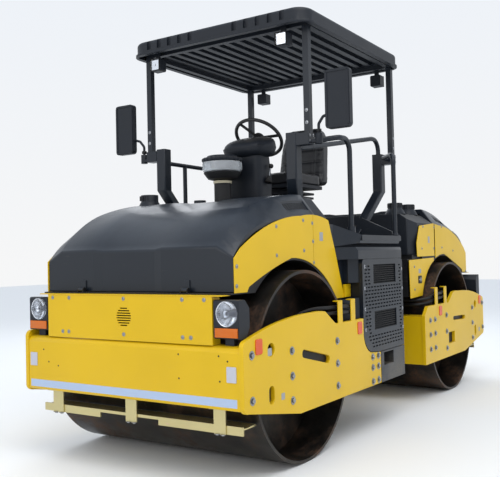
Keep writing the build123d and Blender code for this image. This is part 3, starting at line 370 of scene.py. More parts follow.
finishes = {name: new_finish(name, colour, roughness, **rest)
            for name, (colour, roughness, rest) in painted.items()}
print("finishes", len(finishes))
for row in record["materials"]:
    print(row["slot"], "made" if row["slot"] in finishes else "still to make")

# %% [markdown]
# ## Drum steel
# A drum is bare rolled steel. Its running face is rubbed dull grey by the ground, brown rust blooms where
# it stood in the wet, and pale scuffs cross it. The rust comes from two noises, one for patches and one
# for specks, and it makes the steel rougher and less metallic. The drum spins, so the pattern uses object
# coordinates and turns with it.

# %% Drum steel
drum_steel, tree, shader, where = new_material("drum_steel")
rust_patch = new_ramp(tree, new_noise(tree, where, 2.6, 6.0, 0.66), 0.42, 0.62)
rust_speck = new_ramp(tree, new_noise(tree, where, 38.0, 4.0, 0.6), 0.38, 0.62, (0.35, 1.0))
rust = new_math(tree, "MULTIPLY", rust_patch, rust_speck, clamp=True)
drum_scuffs = place_group(tree, scuff_group, {"Amount": 0.6, "Scale": 14.0, "Stretch": 1.0, "Place": where})
rust_tone = new_mix(tree, new_noise(tree, where, 60.0, 3.0), (0.055, 0.026, 0.012, 1), (0.13, 0.062, 0.032, 1))
steel_tone = new_mix(tree, new_noise(tree, where, 9.0, 4.0), (0.016, 0.014, 0.013, 1), (0.050, 0.046, 0.042, 1))
bare = new_mix(tree, rust, steel_tone, rust_tone)
bare = new_mix(tree, drum_scuffs["Mask"], bare, (0.16, 0.15, 0.145, 1))
drum_dust = place_group(tree, dust_and_sheen_group, {"Low Dust": 0.06, "Top Dust And Sheen": 0.0, "Reach": 0.5, "Place": where,
                                           "Colour": bare})
shine = new_math(tree, "ADD", new_math(tree, "MULTIPLY", rust, -0.65), 0.8, clamp=True)
drum_grain = place_group(tree, grain_group, {"Scale": 240.0, "Roughness": 0.42, "Spread": 0.14, "Place": where})
rougher = new_math(tree, "ADD", new_math(tree, "MULTIPLY", rust, 0.35), drum_grain["Roughness"], clamp=True)
lift = new_math(tree, "ADD", drum_grain["Height"], rust)
feed(tree, shader, {"Base Color": drum_dust["Colour"], "Metallic": shine, "Roughness": rougher,
                    "Normal": new_relief(tree, lift, 0.35, 0.0012)})
finishes["drum_steel"] = drum_steel

# %% [markdown]
# ## Glass, lenses and mirrors
# Clear plastic and glass need transmission, and a reflector or mirror needs full metal with little
# roughness. These are small, so one short function makes them. A faint smear of dust goes on most of
# them, because a spotless lens looks like a hole.

# %% Clear, coloured and mirror finishes
lens_dust_reach = 2.5


def new_lens(name, colour, transmission, roughness, smear=0.12, metallic=0.0):
    """A glass, plastic lens or mirror finish."""
    material, tree, shader, where = new_material(name)
    dusting = place_group(tree, dust_and_sheen_group, {"Low Dust": smear, "Top Dust And Sheen": smear, "Reach": lens_dust_reach,
                                             "Colour": colour + (1,), "Place": where})
    hazy = new_math(tree, "MULTIPLY", dusting["Mask"], 0.5)
    hazy = new_math(tree, "ADD", hazy, roughness, clamp=True)
    feed(tree, shader, {"Base Color": dusting["Colour"], "Roughness": hazy, "Metallic": metallic,
                        "Transmission Weight": transmission, "IOR": 1.45})
    return material


lenses = {
    "lamp_glass": ((0.95, 0.97, 1.0), 1.0, 0.03, 0.05),
    "bowl_plastic": ((0.86, 0.90, 0.94), 0.72, 0.08, 0.05),
    "amber_lens": ((0.78, 0.17, 0.004), 0.25, 0.12),
    "red_lens": ((0.62, 0.012, 0.01), 0.3, 0.15),
    "orange_reflector": ((0.75, 0.085, 0.006), 0.1, 0.2),
    "bright_reflector": ((0.90, 0.91, 0.93), 0.0, 0.12, 0.0, 1.0),
    "mirror_glass": ((0.80, 0.84, 0.88), 0.0, 0.04, 0.03, 1.0),
    "reflective_strip": ((0.40, 0.50, 0.68), 0.0, 0.3, 0.05),
}
for name, values in lenses.items():
    finishes[name] = new_lens(name, *values)
print("finishes", len(finishes))

# %% [markdown]
# ## The CAD pieces
# Each CAD piece gets the finish that the record names for it. Plate that was cut and folded never has
# a razor edge, so a small bevel catches the light along every edge. The bevel is a modifier: it works on
# top of the mesh and leaves the CAD piece's own points alone. Welding first closes the seams between
# faces, and dissolving flat faces keeps the bevel from following every triangle.

# %% Finish and edges of the CAD pieces
bevel_width = {"yellow_paint": 0.0025, "slate_paint": 0.0025, "hood_plastic": 0.004, "slate_plastic": 0.003}
unbevelled = {"front_hoses", "rear_hoses", "handrails", "front_drum", "rear_drum", "cabinet_grilles",
              "front_scraper", "rear_scraper", "steering_wheel"}


def add_edges(piece, width):
    """Weld, flatten and bevel modifiers on a CAD piece."""
    weld = piece.modifiers.new("weld", "WELD")
    weld.merge_threshold = 0.00005
    flat = piece.modifiers.new("flat", "DECIMATE")
    flat.decimate_type = "DISSOLVE"
    flat.angle_limit = math.radians(0.6)
    edge = piece.modifiers.new("edge", "BEVEL")
    edge.width = width
    edge.segments = 2
    edge.limit_method = "ANGLE"
    edge.angle_limit = math.radians(38)
    edge.harden_normals = True


for row in record["subparts"]:
    piece = frame["nodes"][row["node"]]
    slot_name = row["material_slot"]
    if not piece.material_slots:
        piece.data.materials.append(None)
    for material_slot in piece.material_slots:
        material_slot.material = finishes[slot_name]
    if slot_name in bevel_width and row["node"] not in unbevelled:
        add_edges(piece, bevel_width[slot_name])
print("nodes finished", len(record["subparts"]))

# %% [markdown]
# ## Tools for small pieces
# Hundreds of bolts, rings and lenses are turned shapes: a profile spun round an axis. One function spins
# a profile and adds it to a mesh, another adds a rounded plate. All bolts of one body go in one mesh,
# because separate objects would only make the scene slow. The seat of each shape is a matrix whose Z
# points out of the surface that it sits on.

# %% Spun shapes, plates and new pieces
def seat_at(place, outward, spin=0.0):
    """A matrix at place whose Z points along outward."""
    turn = Vector(outward).to_track_quat("Z", "Y").to_matrix().to_4x4()
    return Matrix.Translation(Vector(place)) @ turn @ Matrix.Rotation(spin, 4, "Z")


def spokes(count):
    """The (x, y) directions of evenly spread spokes."""
    angles = [2 * math.pi * step / count for step in range(count)]
    return [(math.cos(angle), math.sin(angle)) for angle in angles]


def join_rings(shape, rings, closed=True):
    """Joins each ring of points to the next. A ring of one point is a tip. closed fills both ends."""
    for low, high in zip(rings, rings[1:]):
        count = max(len(low), len(high))
        for step in range(count):
            after = (step + 1) % count
            if len(low) == 1:
                shape.faces.new((low[0], high[step], high[after]))
            elif len(high) == 1:
                shape.faces.new((low[after], low[step], high[0]))
            else:
                shape.faces.new((low[step], low[after], high[after], high[step]))
    if closed:
        shape.faces.new(rings[-1])
        shape.faces.new(list(reversed(rings[0])))


def add_spun(shape, profile, seat, steps=20):
    """Spins (radius, height) points round the seat's Z. Zero radius closes an end."""
    rings = []
    for radius, height in profile:
        around = [(radius * x, radius * y) for x, y in spokes(steps)] if radius else [(0, 0)]
        rings.append([shape.verts.new(seat @ Vector((x, y, height))) for x, y in around])
    join_rings(shape, rings, closed=False)


def rounded_outline(width, height, radius, steps=4):
    """The corner points of a rounded rectangle round (0, 0)."""
    points = []
    for corner, (side_x, side_y) in enumerate(((1, 1), (-1, 1), (-1, -1), (1, -1))):
        middle_x, middle_y = side_x * (width / 2 - radius), side_y * (height / 2 - radius)
        for step in range(steps + 1):
            angle = math.pi / 2 * (corner + step / steps)
            points.append((middle_x + radius * math.cos(angle), middle_y + radius * math.sin(angle)))
    return points


def add_plate(shape, outline, thickness, seat, edge=0.0):
    """A plate from an outline in the seat's XY, rising along Z. edge slopes its rim in."""
    rings = []
    for height, slope in ((0.0, 0.0), (max(thickness - edge, thickness * 0.3), 0.0), (thickness, edge)):
        ring = []
        for x, y in outline:
            pull = max(0.0, 1 - slope / math.hypot(x, y))
            ring.append(shape.verts.new(seat @ Vector((x * pull, y * pull, height))))
        rings.append(ring)
    join_rings(shape, rings)


def flat_plate(shape, place, outward, width, height, thickness=0.0012, radius=0.003, edge=0.0004):
    """A thin rounded plate on a wall. width runs level, height runs up."""
    out = Vector(outward)
    run = Vector((0, 0, 1)).cross(out).normalized()
    turn = Matrix((run, out.cross(run), out)).transposed().to_4x4()
    seat = Matrix.Translation(Vector(place)) @ turn
    add_plate(shape, rounded_outline(width, height, radius), thickness, seat, edge)


def ride_on(piece, body):
    """Tells the frame which body carries a piece."""
    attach(piece, body)
    return piece


def finish_piece(name, shape, slot_name, finish=None, body="front_frame", smooth=30):
    """Turns a bmesh into a piece that rides on a body."""
    bmesh.ops.recalc_face_normals(shape, faces=shape.faces)
    mesh = bpy.data.meshes.new(name)
    shape.to_mesh(mesh)
    shape.free()
    mesh.materials.append(finishes[finish or slot_name])
    piece = place_object(name, mesh)
    if smooth:
        mesh.shade_smooth()
        mesh.set_sharp_from_angle(angle=math.radians(smooth))
    return ride_on(piece, body)


# %% [markdown]
# ## Bolts
# The plates and covers are held by zinc bolts on washers, and the thin front panel by domed screws. A hex
# head is a six-step spin on a round washer, a dome is a round spin. Their places were measured on the
# picture through the solved camera, as a distance along the machine from the drum's axle and a height.

# %% Bolt shapes
def middle_x(node):
    """The middle of a CAD node along the machine."""
    low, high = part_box(node)
    return (low[0] + high[0]) / 2


front_axle, rear_axle = middle_x("front_drum"), middle_x("rear_drum")
plate_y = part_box("front_side_plates")[1][1]
cover_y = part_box("rear_covers")[1][1]
grille_face_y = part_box("cabinet_grilles")[1][1]
beam_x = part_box("front_beam")[1][0]
panel_reach = 0.777
plate_bolt_size, cover_screw_size, grille_screw_size = 0.015, 0.0085, 0.0095


def add_hex_bolt(shape, seat, size):
    """A hexagon head on a washer."""
    add_spun(shape, [(0, 0), (size * 1.75, 0), (size * 1.75, 0.0022), (size * 1.1, 0.0026)], seat, 18)
    add_spun(shape, [(size, 0.002), (size, size * 0.75), (size * 0.86, size * 0.92), (0, size * 0.92)], seat, 6)


def add_dome_screw(shape, seat, size):
    """A domed head on a thin washer."""
    add_spun(shape, [(0, 0), (size * 1.5, 0), (size * 1.5, 0.0015), (size, 0.002), (size * 0.92, size * 0.35),
                     (size * 0.6, size * 0.62), (0.0035, size * 0.7), (0.003, size * 0.45), (0, size * 0.45)],
             seat, 16)


def on_sides(y, spots, axle):
    """Seats on both long sides at (distance from the axle, height) in millimetres."""
    return [seat_at((axle + x / 1000, side * y, z / 1000), (0, side, 0), spin=0.4 * z)
            for x, z in spots for side in (1, -1)]


# %% Bolts of both frames
front_plate_bolts = ((706, 762), (706, 509), (260, 737), (260, 584), (260, 436), (-350, 732), (-350, 581),
                     (-350, 431), (-923, 552), (-923, 474), (-923, 372), (-1025, 551), (-1025, 473), (-1025, 371))
front_cover_screws = ((665, 1259), (669, 1146), (220, 1498), (-124, 1546), (-249, 1530), (221, 1317),
                      (-128, 1346), (-255, 1407), (-260, 1264))
grille_screws = ((-820, 1222), (-814, 1063), (-813, 911), (-815, 760), (-1528, 1189), (-1532, 1033),
                 (-1528, 873), (-1529, 723))
rear_plate_bolts = ((728, 717), (728, 590), (728, 462), (605, 717), (605, 593), (605, 464), (293, 732),
                    (293, 580), (293, 426), (-506, 747), (-506, 594), (-506, 442), (-858, 774), (-858, 519))
rear_cover_screws = ((534, 1554), (241, 1554), (573, 1353), (257, 1356), (24, 1562), (-321, 1516), (26, 1362),
                     (-304, 1331), (-703, 1114), (775, 1192), (777, 991))
panel_screw_rows = ((1072, (-629, -476, 0, 460, 620)), (853, (-537, -481, 0, 461, 521)))

for end, axle, way, bolt_spots, cover_spots, grille_spots in (
        ("front", front_axle, 1, front_plate_bolts, front_cover_screws, grille_screws),
        ("rear", rear_axle, -1, rear_plate_bolts, rear_cover_screws, ())):
    bolts, screws = bmesh.new(), bmesh.new()
    for seat in on_sides(plate_y, bolt_spots, axle):
        add_hex_bolt(bolts, seat, plate_bolt_size)
    for seat in on_sides(cover_y, cover_spots, axle):
        add_dome_screw(screws, seat, cover_screw_size)
    for seat in on_sides(grille_face_y, grille_spots, axle):
        add_dome_screw(screws, seat, grille_screw_size)
    for z, row in panel_screw_rows:
        for y in row:
            seat = seat_at((axle + way * panel_reach, y / 1000, z / 1000), (way, 0, 0))
            add_dome_screw(screws, seat, cover_screw_size)
    finish_piece(end + "_plate_bolts", bolts, "zinc_steel", "bright_steel", end + "_frame")
    finish_piece(end + "_cover_screws", screws, "zinc_steel", "bright_steel", end + "_frame")
print("bolts and screws placed")

# %% [markdown]
# ## Reflectors, strips and blank plates
# A pale reflective tape runs along the foot of the front beam, white markers stand at its ends, and orange
# reflectors sit near the ends of the side plates. Small grey plates sit on the side plates and covers. All
# of them are thin rounded plates that lie on the steel.

# %% Tape, markers, reflectors and plates
ahead = (1, 0, 0)
tape, markers = bmesh.new(), bmesh.new()
flat_plate(tape, (beam_x, 0, 0.501), ahead, 1.682, 0.048, 0.0006, 0.002, 0.0002)
finish_piece("front_tape", tape, "slate_paint", "reflective_strip")
for side in (1, -1):
    flat_plate(markers, (beam_x, side * 0.8075, 0.660), ahead, 0.065, 0.088, 0.0050, 0.004, 0.0015)
finish_piece("front_markers", markers, "slate_paint", "white_plate")


def add_side_plates(name, shapes, slot_name, finish, body, axle, thickness, radius, edge):
    """Plates on both sides at (distance from the axle, height, y, width, plate height)."""
    plates = bmesh.new()
    for x, z, y, width, height in shapes:
        for side in (1, -1):
            flat_plate(plates, (axle + x / 1000, side * y, z / 1000), (0, side, 0), width / 1000, height / 1000,
                       thickness, radius, edge)
    finish_piece(name, plates, slot_name, finish, body)


for body, axle, spots in (("front_frame", front_axle, ((633, 802), (-709, 786))),
                          ("rear_frame", rear_axle, ((457, 784), (-770, 813)))):
    reflectors = [(x, z, plate_y, 70, 88) for x, z in spots]
    add_side_plates(body + "_reflectors", reflectors, "amber_lens", "orange_reflector", body, axle,
                    0.006, 0.012, 0.002)
for body, axle, shapes in (
        ("front_frame", front_axle, ((515, 759, plate_y, 44, 44), (375, 481, plate_y, 40, 40),
                                     (-374, 1441, cover_y, 50, 60))),
        ("rear_frame", rear_axle, ((390, 1435, cover_y, 46, 60), (644, 1151, cover_y, 60, 40),
                                   (-738, 505, plate_y, 44, 44)))):
    add_side_plates(body + "_blank_plates", shapes, "slate_paint", "grey_label", body, axle,
                    0.0008, 0.004, 0.0003)

# %% Plugs in the front beam
beam_plugs = ((-714, 727), (-666, 648), (-576, 627), (432, 755), (721, 759), (781, 733), (434, 616), (726, 618))
plugs = bmesh.new()
for y, z in beam_plugs:
    add_spun(plugs, [(0, 0.0002), (0.0045, 0.0002), (0.0050, 0.0006), (0.0058, 0.0)],
             seat_at((beam_x, y / 1000, z / 1000), ahead), 14)
finish_piece("front_beam_plugs", plugs, "black_rubber", "black_plastic")
print("tape, markers and plates placed")

# %% [markdown]
# ## Headlamps
# A headlamp is a bright bowl with a bulb in its middle behind fluted glass. The CAD model has one solid
# disc there, which can't show depth. Here the bowl is spun from a dish profile, the bulb is a small frosted
# pin, and the glass is a thin shell with upright flutes. Together they replace the disc.

# %% Bowl, bulb and glass
lamp_y, lamp_z, lamp_radius = 0.771, 0.995, 0.0725
dish_steps, dome_steps, glass_sag = 8, 6, 0.005
lamp_back, lamp_front = (corner[0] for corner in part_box("headlamp_glasses"))
lamp_depth = lamp_front - lamp_back


def glass_face(rim_share, rim_drop, face_share, face_drop):
    """One face of the lamp's domed glass, from its rim to its middle, below the lamp's front."""
    profile = [(lamp_radius * rim_share, lamp_depth - drop) for drop in rim_drop]
    for step in range(dome_steps, -1, -1):
        share = step / dome_steps
        profile.append((lamp_radius * face_share * share, lamp_depth - face_drop - glass_sag * share ** 2))
    return profile


bowls, bulbs, glasses = bmesh.new(), bmesh.new(), bmesh.new()
for side in (1, -1):
    seat = seat_at((lamp_back, side * lamp_y, lamp_z), ahead)
    dish = [(0.0, 0.002)]
    for step in range(1, dish_steps + 1):
        radius = lamp_radius * 0.93 * step / dish_steps
        dish.append((radius, 0.002 + (lamp_depth - 0.014) * (step / dish_steps) ** 2))
    dish += [(lamp_radius * 0.99, lamp_depth - 0.012), (lamp_radius * 0.99, lamp_depth - 0.016)]
    add_spun(bowls, dish, seat, 36)
    add_spun(bulbs, [(0.012, 0.003), (0.012, 0.010), (0.007, 0.012), (0.007, 0.022), (0.005, 0.027), (0, 0.028)],
             seat, 16)
    add_spun(glasses, glass_face(0.99, (0.011, 0.006), 0.94, 0.001), seat, 36)
    add_spun(glasses, glass_face(0.97, (0.0115,), 0.92, 0.0045), seat, 36)
    for flute in range(-6, 7):
        y = flute * lamp_radius * 0.14
        tall = math.sqrt(max(0.0, (lamp_radius * 0.86) ** 2 - y ** 2))
        bead = seat_at((lamp_front - 0.0075, side * lamp_y + y, lamp_z), ahead)
        add_plate(glasses, rounded_outline(0.004, 0.004, 0.001, 2), 0.001, bead)
        flat_plate(glasses, (lamp_front - 0.0085, side * lamp_y + y, lamp_z), ahead, 0.0035, tall * 1.9,
                   0.0016, 0.0015, 0.0006)
finish_piece("headlamp_bowls", bowls, "lamp_glass", "bright_reflector")
finish_piece("headlamp_bulbs", bulbs, "lamp_glass", "white_plate")
lamp_covers = finish_piece("headlamp_covers", glasses, "lamp_glass")
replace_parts(lamp_covers, "headlamp_glasses")
print("headlamps", len(lamp_covers.data.vertices), "glass points")

# %% [markdown]
# ## Seat
# The seat is foam under black vinyl: a cushion with a raised rim and two sewn channels, and a tall back
# with a rounded head. Modelled as hard blocks they would look like plastic. Each pad starts as a closed
# box a little smaller than its place, is remeshed to small even faces, and is blown up by a short cloth
# simulation, which crowns the faces and pulls the sides in between the corners. The channels are pressed
# in afterwards, because the remesh would wipe them out.

# %% Blow up a pad
voxel_size, air_pressure, most_swell, cloth_frames, channel_width = 0.007, 4.0, 0.012, 20, 0.012


def closed_box(name, low, high, taper=0.0):
    """A closed box with rounded edges, in metres. taper narrows it towards its top."""
    shape = bmesh.new()
    bmesh.ops.create_cube(shape, size=1.0)
    bmesh.ops.bevel(shape, geom=list(shape.edges), offset=0.12, segments=3, affect="EDGES", profile=0.6)
    middle = [(a + b) / 2 for a, b in zip(low, high)]
    span = [b - a for a, b in zip(low, high)]
    for vertex in shape.verts:
        narrow = 1 - taper * (vertex.co.z + 0.5)
        vertex.co = Vector((middle[0] + vertex.co.x * span[0], middle[1] + vertex.co.y * span[1] * narrow,
                            middle[2] + vertex.co.z * span[2]))
    mesh = bpy.data.meshes.new(name)
    shape.to_mesh(mesh)
    shape.free()
    return place_object(name, mesh)


def blow_up(piece):
    """Remeshes a closed pad, inflates it as cloth, and caps how far each point moves."""
    remesh = piece.modifiers.new("remesh", "REMESH")
    remesh.mode = "VOXEL"
    remesh.voxel_size = voxel_size
    graph = bpy.context.evaluated_depsgraph_get()
    mesh = bpy.data.meshes.new_from_object(piece.evaluated_get(graph))
    piece.modifiers.clear()
    piece.data = mesh
    rest = [vertex.co.copy() for vertex in mesh.vertices]
    cloth = piece.modifiers.new("cloth", "CLOTH")
    cloth.settings.use_pressure = True
    cloth.settings.uniform_pressure_force = air_pressure
    cloth.settings.effector_weights.gravity = 0
    cloth.point_cache.frame_start = 1
    cloth.point_cache.frame_end = cloth_frames
    for number in range(1, cloth_frames + 1):
        bpy.context.scene.frame_set(number)
    graph = bpy.context.evaluated_depsgraph_get()
    blown = piece.evaluated_get(graph).to_mesh()
    moved = [vertex.co.copy() for vertex in blown.vertices]
    piece.modifiers.clear()
    for vertex, start, end in zip(mesh.vertices, rest, moved):
        step = end - start
        if step.length > most_swell:
            step *= most_swell / step.length
        vertex.co = start + step
    bpy.context.scene.frame_set(1)


def press_channel(piece, axis, place, across, depth):
    """Presses a sewn channel where the coordinate axis equals place, on faces that look along across."""
    for vertex in piece.data.vertices:
        gap = abs(vertex.co[axis] - place)
        if gap < channel_width * 2.5 and vertex.normal.dot(across) > 0.35:
            vertex.co -= across * depth * math.exp(-(gap / channel_width) ** 2)


def finish_pad(piece, node):
    """Smooth shading, one subdivision, and the frame calls of a padded piece."""
    piece.data.materials.clear()
    piece.data.materials.append(finishes["seat_cover"])
    piece.data.shade_smooth()
    smoother = piece.modifiers.new("smoother", "SUBSURF")
    smoother.levels = smoother.render_levels = 1
    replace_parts(ride_on(piece, "front_frame"), node)


# %% The cushion
swell, long_channel, short_channel = 0.009, 0.010, 0.006
seat_low, seat_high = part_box("seat_cushion")
cushion = closed_box("seat_pad", (seat_low[0] + swell, seat_low[1] + swell, seat_low[2] + 0.001),
                     (seat_high[0] - swell, seat_high[1] - swell, seat_high[2] - 0.006))
blow_up(cushion)
top_face = Vector((0, 0, 1))
cushion_length = seat_high[0] - seat_low[0]
for y in (-0.145, 0.145):
    press_channel(cushion, 1, y, top_face, long_channel)
for share in (0.30, 0.52, 0.74):
    press_channel(cushion, 0, seat_low[0] + share * cushion_length, top_face, short_channel)
for vertex in cushion.data.vertices:
    vertex.co.z = max(vertex.co.z, seat_low[2])
finish_pad(cushion, "seat_cushion")

# %% The back
back_low, back_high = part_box("seat_back")
back_height = back_high[2] - back_low[2]
back_thick, round_from = 0.105, 0.55
back = closed_box("seat_back_pad", (back_high[0] - back_thick - swell, back_low[1] + swell, back_low[2] + 0.012),
                  (back_high[0] - swell, back_high[1] - swell, back_high[2] - 0.012), taper=0.10)
blow_up(back)
for vertex in back.data.vertices:
    share = (vertex.co.z - back_low[2]) / back_height
    if share > round_from:
        bend = (share - round_from) / (1.02 - round_from)
        vertex.co.y *= math.sqrt(max(0.08, 1 - 0.72 * bend ** 2.6))
front_face = Vector((1, 0, 0))
for y in (-0.13, 0.13):
    press_channel(back, 1, y, front_face, long_channel)
for share in (0.22, 0.42, 0.62, 0.80):
    press_channel(back, 2, back_low[2] + share * back_height, front_face, short_channel)
lean = (back_high[0] - back_low[0] - back_thick) / back_height
for vertex in back.data.vertices:
    vertex.co.x -= lean * (vertex.co.z - back_low[2])
finish_pad(back, "seat_back")
print("pads", len(cushion.data.vertices), len(back.data.vertices))

# %% [markdown]
# ## Air pre-cleaner
# Ahead of the console stands the engine's air pre-cleaner: a tube with a rubber funnel, a cream band, a
# clear ribbed bowl that catches dust, and a dark scalloped lid. The CAD node is one solid with the same
# outline. Here every part is spun on the same axis, and the lid's scallops come from a radius that swings
# with the angle.

# %% Pre-cleaner
cleaner_low, cleaner_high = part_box("pre_cleaner")
cleaner_x = (cleaner_low[0] + cleaner_high[0]) / 2
cleaner_y = (cleaner_low[1] + cleaner_high[1]) / 2
foot = seat_at((cleaner_x, cleaner_y, cleaner_low[2]), (0, 0, 1))
bowl_ribs, lid_steps, lid_scallops, scallop_depth, vane_count = 24, 96, 24, 0.0035, 12


def add_cleaner_spun(shape, profile, steps):
    """Spins (radius, height above the ground) points round the pre-cleaner's axis."""
    add_spun(shape, [(radius, z - cleaner_low[2]) for radius, z in profile], foot, steps)


stem, band, bowl, lid, rotor = bmesh.new(), bmesh.new(), bmesh.new(), bmesh.new(), bmesh.new()
add_spun(stem, [(0.070, 0), (0.070, 0.010), (0.0645, 0.014)] + [
    (radius, z - cleaner_low[2]) for radius, z in (
        (0.0645, 1.868), (0.062, 1.894), (0.086, 1.898), (0.110, 1.904), (0.140, 1.944), (0.142, 1.952),
        (0.118, 1.956), (0, 1.956))], foot, 40)
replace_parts(finish_piece("cleaner_stem", stem, "black_rubber"), "pre_cleaner")

add_cleaner_spun(band, ((0.066, 1.870), (0.070, 1.871), (0.0705, 1.889), (0.066, 1.891), (0.064, 1.880),
                        (0.066, 1.870)), 40)
finish_piece("cleaner_band", band, "slate_plastic", "cream_band")

add_cleaner_spun(bowl, ((0.118, 1.9565), (0.140, 1.9570), (0.146, 1.965), (0.149, 2.030), (0.146, 2.030),
                        (0.1425, 1.968), (0.138, 1.9605), (0.118, 1.960), (0.118, 1.9565)), 48)
for x, y in spokes(bowl_ribs):
    out = Vector((x, y, 0))
    flat_plate(bowl, Vector((cleaner_x, cleaner_y, 1.998)) + out * 0.1465, out, 0.004, 0.050, 0.004, 0.0015,
               0.001)
finish_piece("cleaner_bowl", bowl, "bowl_plastic")

lid_rings = []
for radius, z in ((0.139, 2.028), (0.150, 2.034), (0.156, 2.044), (0.156, 2.054), (0.147, 2.062), (0.120, 2.066),
                  (0.112, 2.078), (0.060, 2.083)):
    ring = []
    for step in range(lid_steps):
        angle = 2 * math.pi * step / lid_steps
        scallop = scallop_depth * math.cos(lid_scallops * angle) if 0.145 < radius < 0.16 else 0.0
        reach = radius - scallop_depth + scallop if scallop else radius
        ring.append(lid.verts.new((cleaner_x + reach * math.cos(angle), cleaner_y + reach * math.sin(angle), z)))
    lid_rings.append(ring)
join_rings(lid, lid_rings)
finish_piece("cleaner_lid", lid, "slate_plastic")

for x, y in spokes(vane_count):
    out = Vector((x, y, 0))
    vane_facing = Vector((-out.y, out.x, 0.5)).normalized()
    flat_plate(rotor, Vector((cleaner_x, cleaner_y, 1.995)) + out * 0.05, vane_facing, 0.07, 0.05, 0.002, 0.004,
               0.0005)
add_cleaner_spun(rotor, ((0.0, 1.960), (0.036, 1.960), (0.030, 2.028), (0.0, 2.028)), 24)
finish_piece("cleaner_vanes", rotor, "black_rubber", "black_plastic")
print("pre-cleaner at", round(cleaner_x, 3), round(cleaner_y, 3))

# %% [markdown]
# ## Caps, lamps and mirrors
# The filler caps have grip ribs and a raised centre. The work lamps under the roof are square clear
# lamps with a bright bowl. The mirrors are glass in a dark moulded shell on clamps. These are all small
# plates and spins on the CAD solids.

# %% Ribbed filler caps
cap_ribs, cap_radius, cap_span = 20, 0.066, 0.192


def add_cap_ribs(shape, x, y, top):
    """Upright grip ribs and a boss on a round cap."""
    for out_x, out_y in spokes(cap_ribs):
        out = Vector((out_x, out_y, 0))
        flat_plate(shape, Vector((x, y, top - 0.024)) + out * (cap_radius - 0.0008), out, 0.009, 0.036, 0.0035,
                   0.003, 0.001)
    add_spun(shape, [(0, 0.0004), (0.030, 0.0004), (0.027, 0.0030), (0, 0.0038)],
             seat_at((x, y, top), (0, 0, 1)), 24)


front_cap, tank_caps = bmesh.new(), bmesh.new()
cap_low, cap_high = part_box("front_filler_cap")
add_cap_ribs(front_cap, (cap_low[0] + cap_high[0]) / 2, (cap_low[1] + cap_high[1]) / 2, cap_high[2])
finish_piece("front_cap_ribs", front_cap, "black_rubber", "black_plastic", "front_hood_body")
cap_low, cap_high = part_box("tank_caps")
for x in (cap_low[0] + cap_span / 2, cap_high[0] - cap_span / 2):
    add_cap_ribs(tank_caps, x, (cap_low[1] + cap_high[1]) / 2, cap_high[2])
finish_piece("tank_cap_ribs", tank_caps, "black_rubber", "black_plastic", "rear_frame")
print("tank caps from", [round(v, 3) for v in cap_low], "to", [round(v, 3) for v in cap_high])

# %% Work lamps
work_lamp_reach = 0.038
lamp_low, lamp_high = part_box("work_lamps")
lamp_middle_z = lamp_low[2] + 0.048
front_lamp_x, rear_lamp_x = lamp_high[0] - work_lamp_reach, lamp_low[0] + work_lamp_reach
frames, bowls, panes = bmesh.new(), bmesh.new(), bmesh.new()
for x, y, way in ((front_lamp_x, 0.560, 1), (front_lamp_x, -0.585, 1), (rear_lamp_x, 0.575, -1),
                  (rear_lamp_x, -0.600, -1)):
    face_x = x + way * work_lamp_reach
    out = (way, 0, 0)
    flat_plate(bowls, (face_x, y, lamp_middle_z), out, 0.078, 0.078, 0.0008, 0.010, 0.0003)
    add_spun(bowls, [(0.009, 0.0008), (0.007, 0.006), (0, 0.007)], seat_at((face_x, y, lamp_middle_z), out), 14)
    flat_plate(panes, (face_x + way * 0.008, y, lamp_middle_z), out, 0.082, 0.082, 0.002, 0.010, 0.0006)
    for side_y, side_z, width, height in ((0.0435, 0, 0.007, 0.094), (-0.0435, 0, 0.007, 0.094),
                                          (0, 0.0435, 0.082, 0.007), (0, -0.0435, 0.082, 0.007)):
        flat_plate(frames, (face_x, y + side_y, lamp_middle_z + side_z), out, width, height, 0.010, 0.0025,
                   0.002)
finish_piece("work_lamp_frames", frames, "slate_plastic", "black_plastic")
finish_piece("work_lamp_bowls", bowls, "lamp_glass", "bright_reflector")
finish_piece("work_lamp_panes", panes, "lamp_glass")

# %% Mirror glass and clamps
mirror_x, mirror_y, mirror_z = 1.163, 0.960, 2.365
mirror_glass, clamps = bmesh.new(), bmesh.new()
for side in (1, -1):
    flat_plate(mirror_glass, (mirror_x, side * mirror_y, mirror_z), (-1, 0, 0), 0.165, 0.378, 0.0015, 0.024,
               0.0004)
    add_spun(clamps, [(0.021, -0.012), (0.021, 0.012)], seat_at((1.151, side * 0.945, 2.383), (0, 1, 0)), 16)
    add_spun(clamps, [(0.019, -0.010), (0.019, 0.010)], seat_at((1.160, side * 0.792, 2.170), (0, 0, 1)), 16)
finish_piece("mirror_glass", mirror_glass, "lamp_glass", "mirror_glass")
finish_piece("mirror_clamps", clamps, "slate_plastic", "black_plastic")
print("lamps and mirrors done")

# %% [markdown]
# ## Post bolts and rail collars
# Each roof post stands in a bracket on its column, with two pale bolts through the post and four small ones
# through the bracket. The handrails end in collars on the platform. They are laid out from the pivot of
# the articulation, which is the middle of the machine.

# %% Post and bracket bolts
joints = {joint["name"]: joint for joint in frame["joints"]}
pivot_x = joints["articulation"]["pos_m"][0]
post_screw_size, bracket_bolt_size = 0.0085, 0.006
bracket_bolts = ((1080, 2145), (1130, 2142), (1080, 2106), (1130, 2103), (-345, 2145), (-400, 2142),
                 (-345, 2106), (-400, 2103))


def from_pivot(x, y, z):
    """A place in metres from millimetres measured from the articulation's pivot."""
    return (pivot_x + x / 1000, y / 1000, z / 1000)


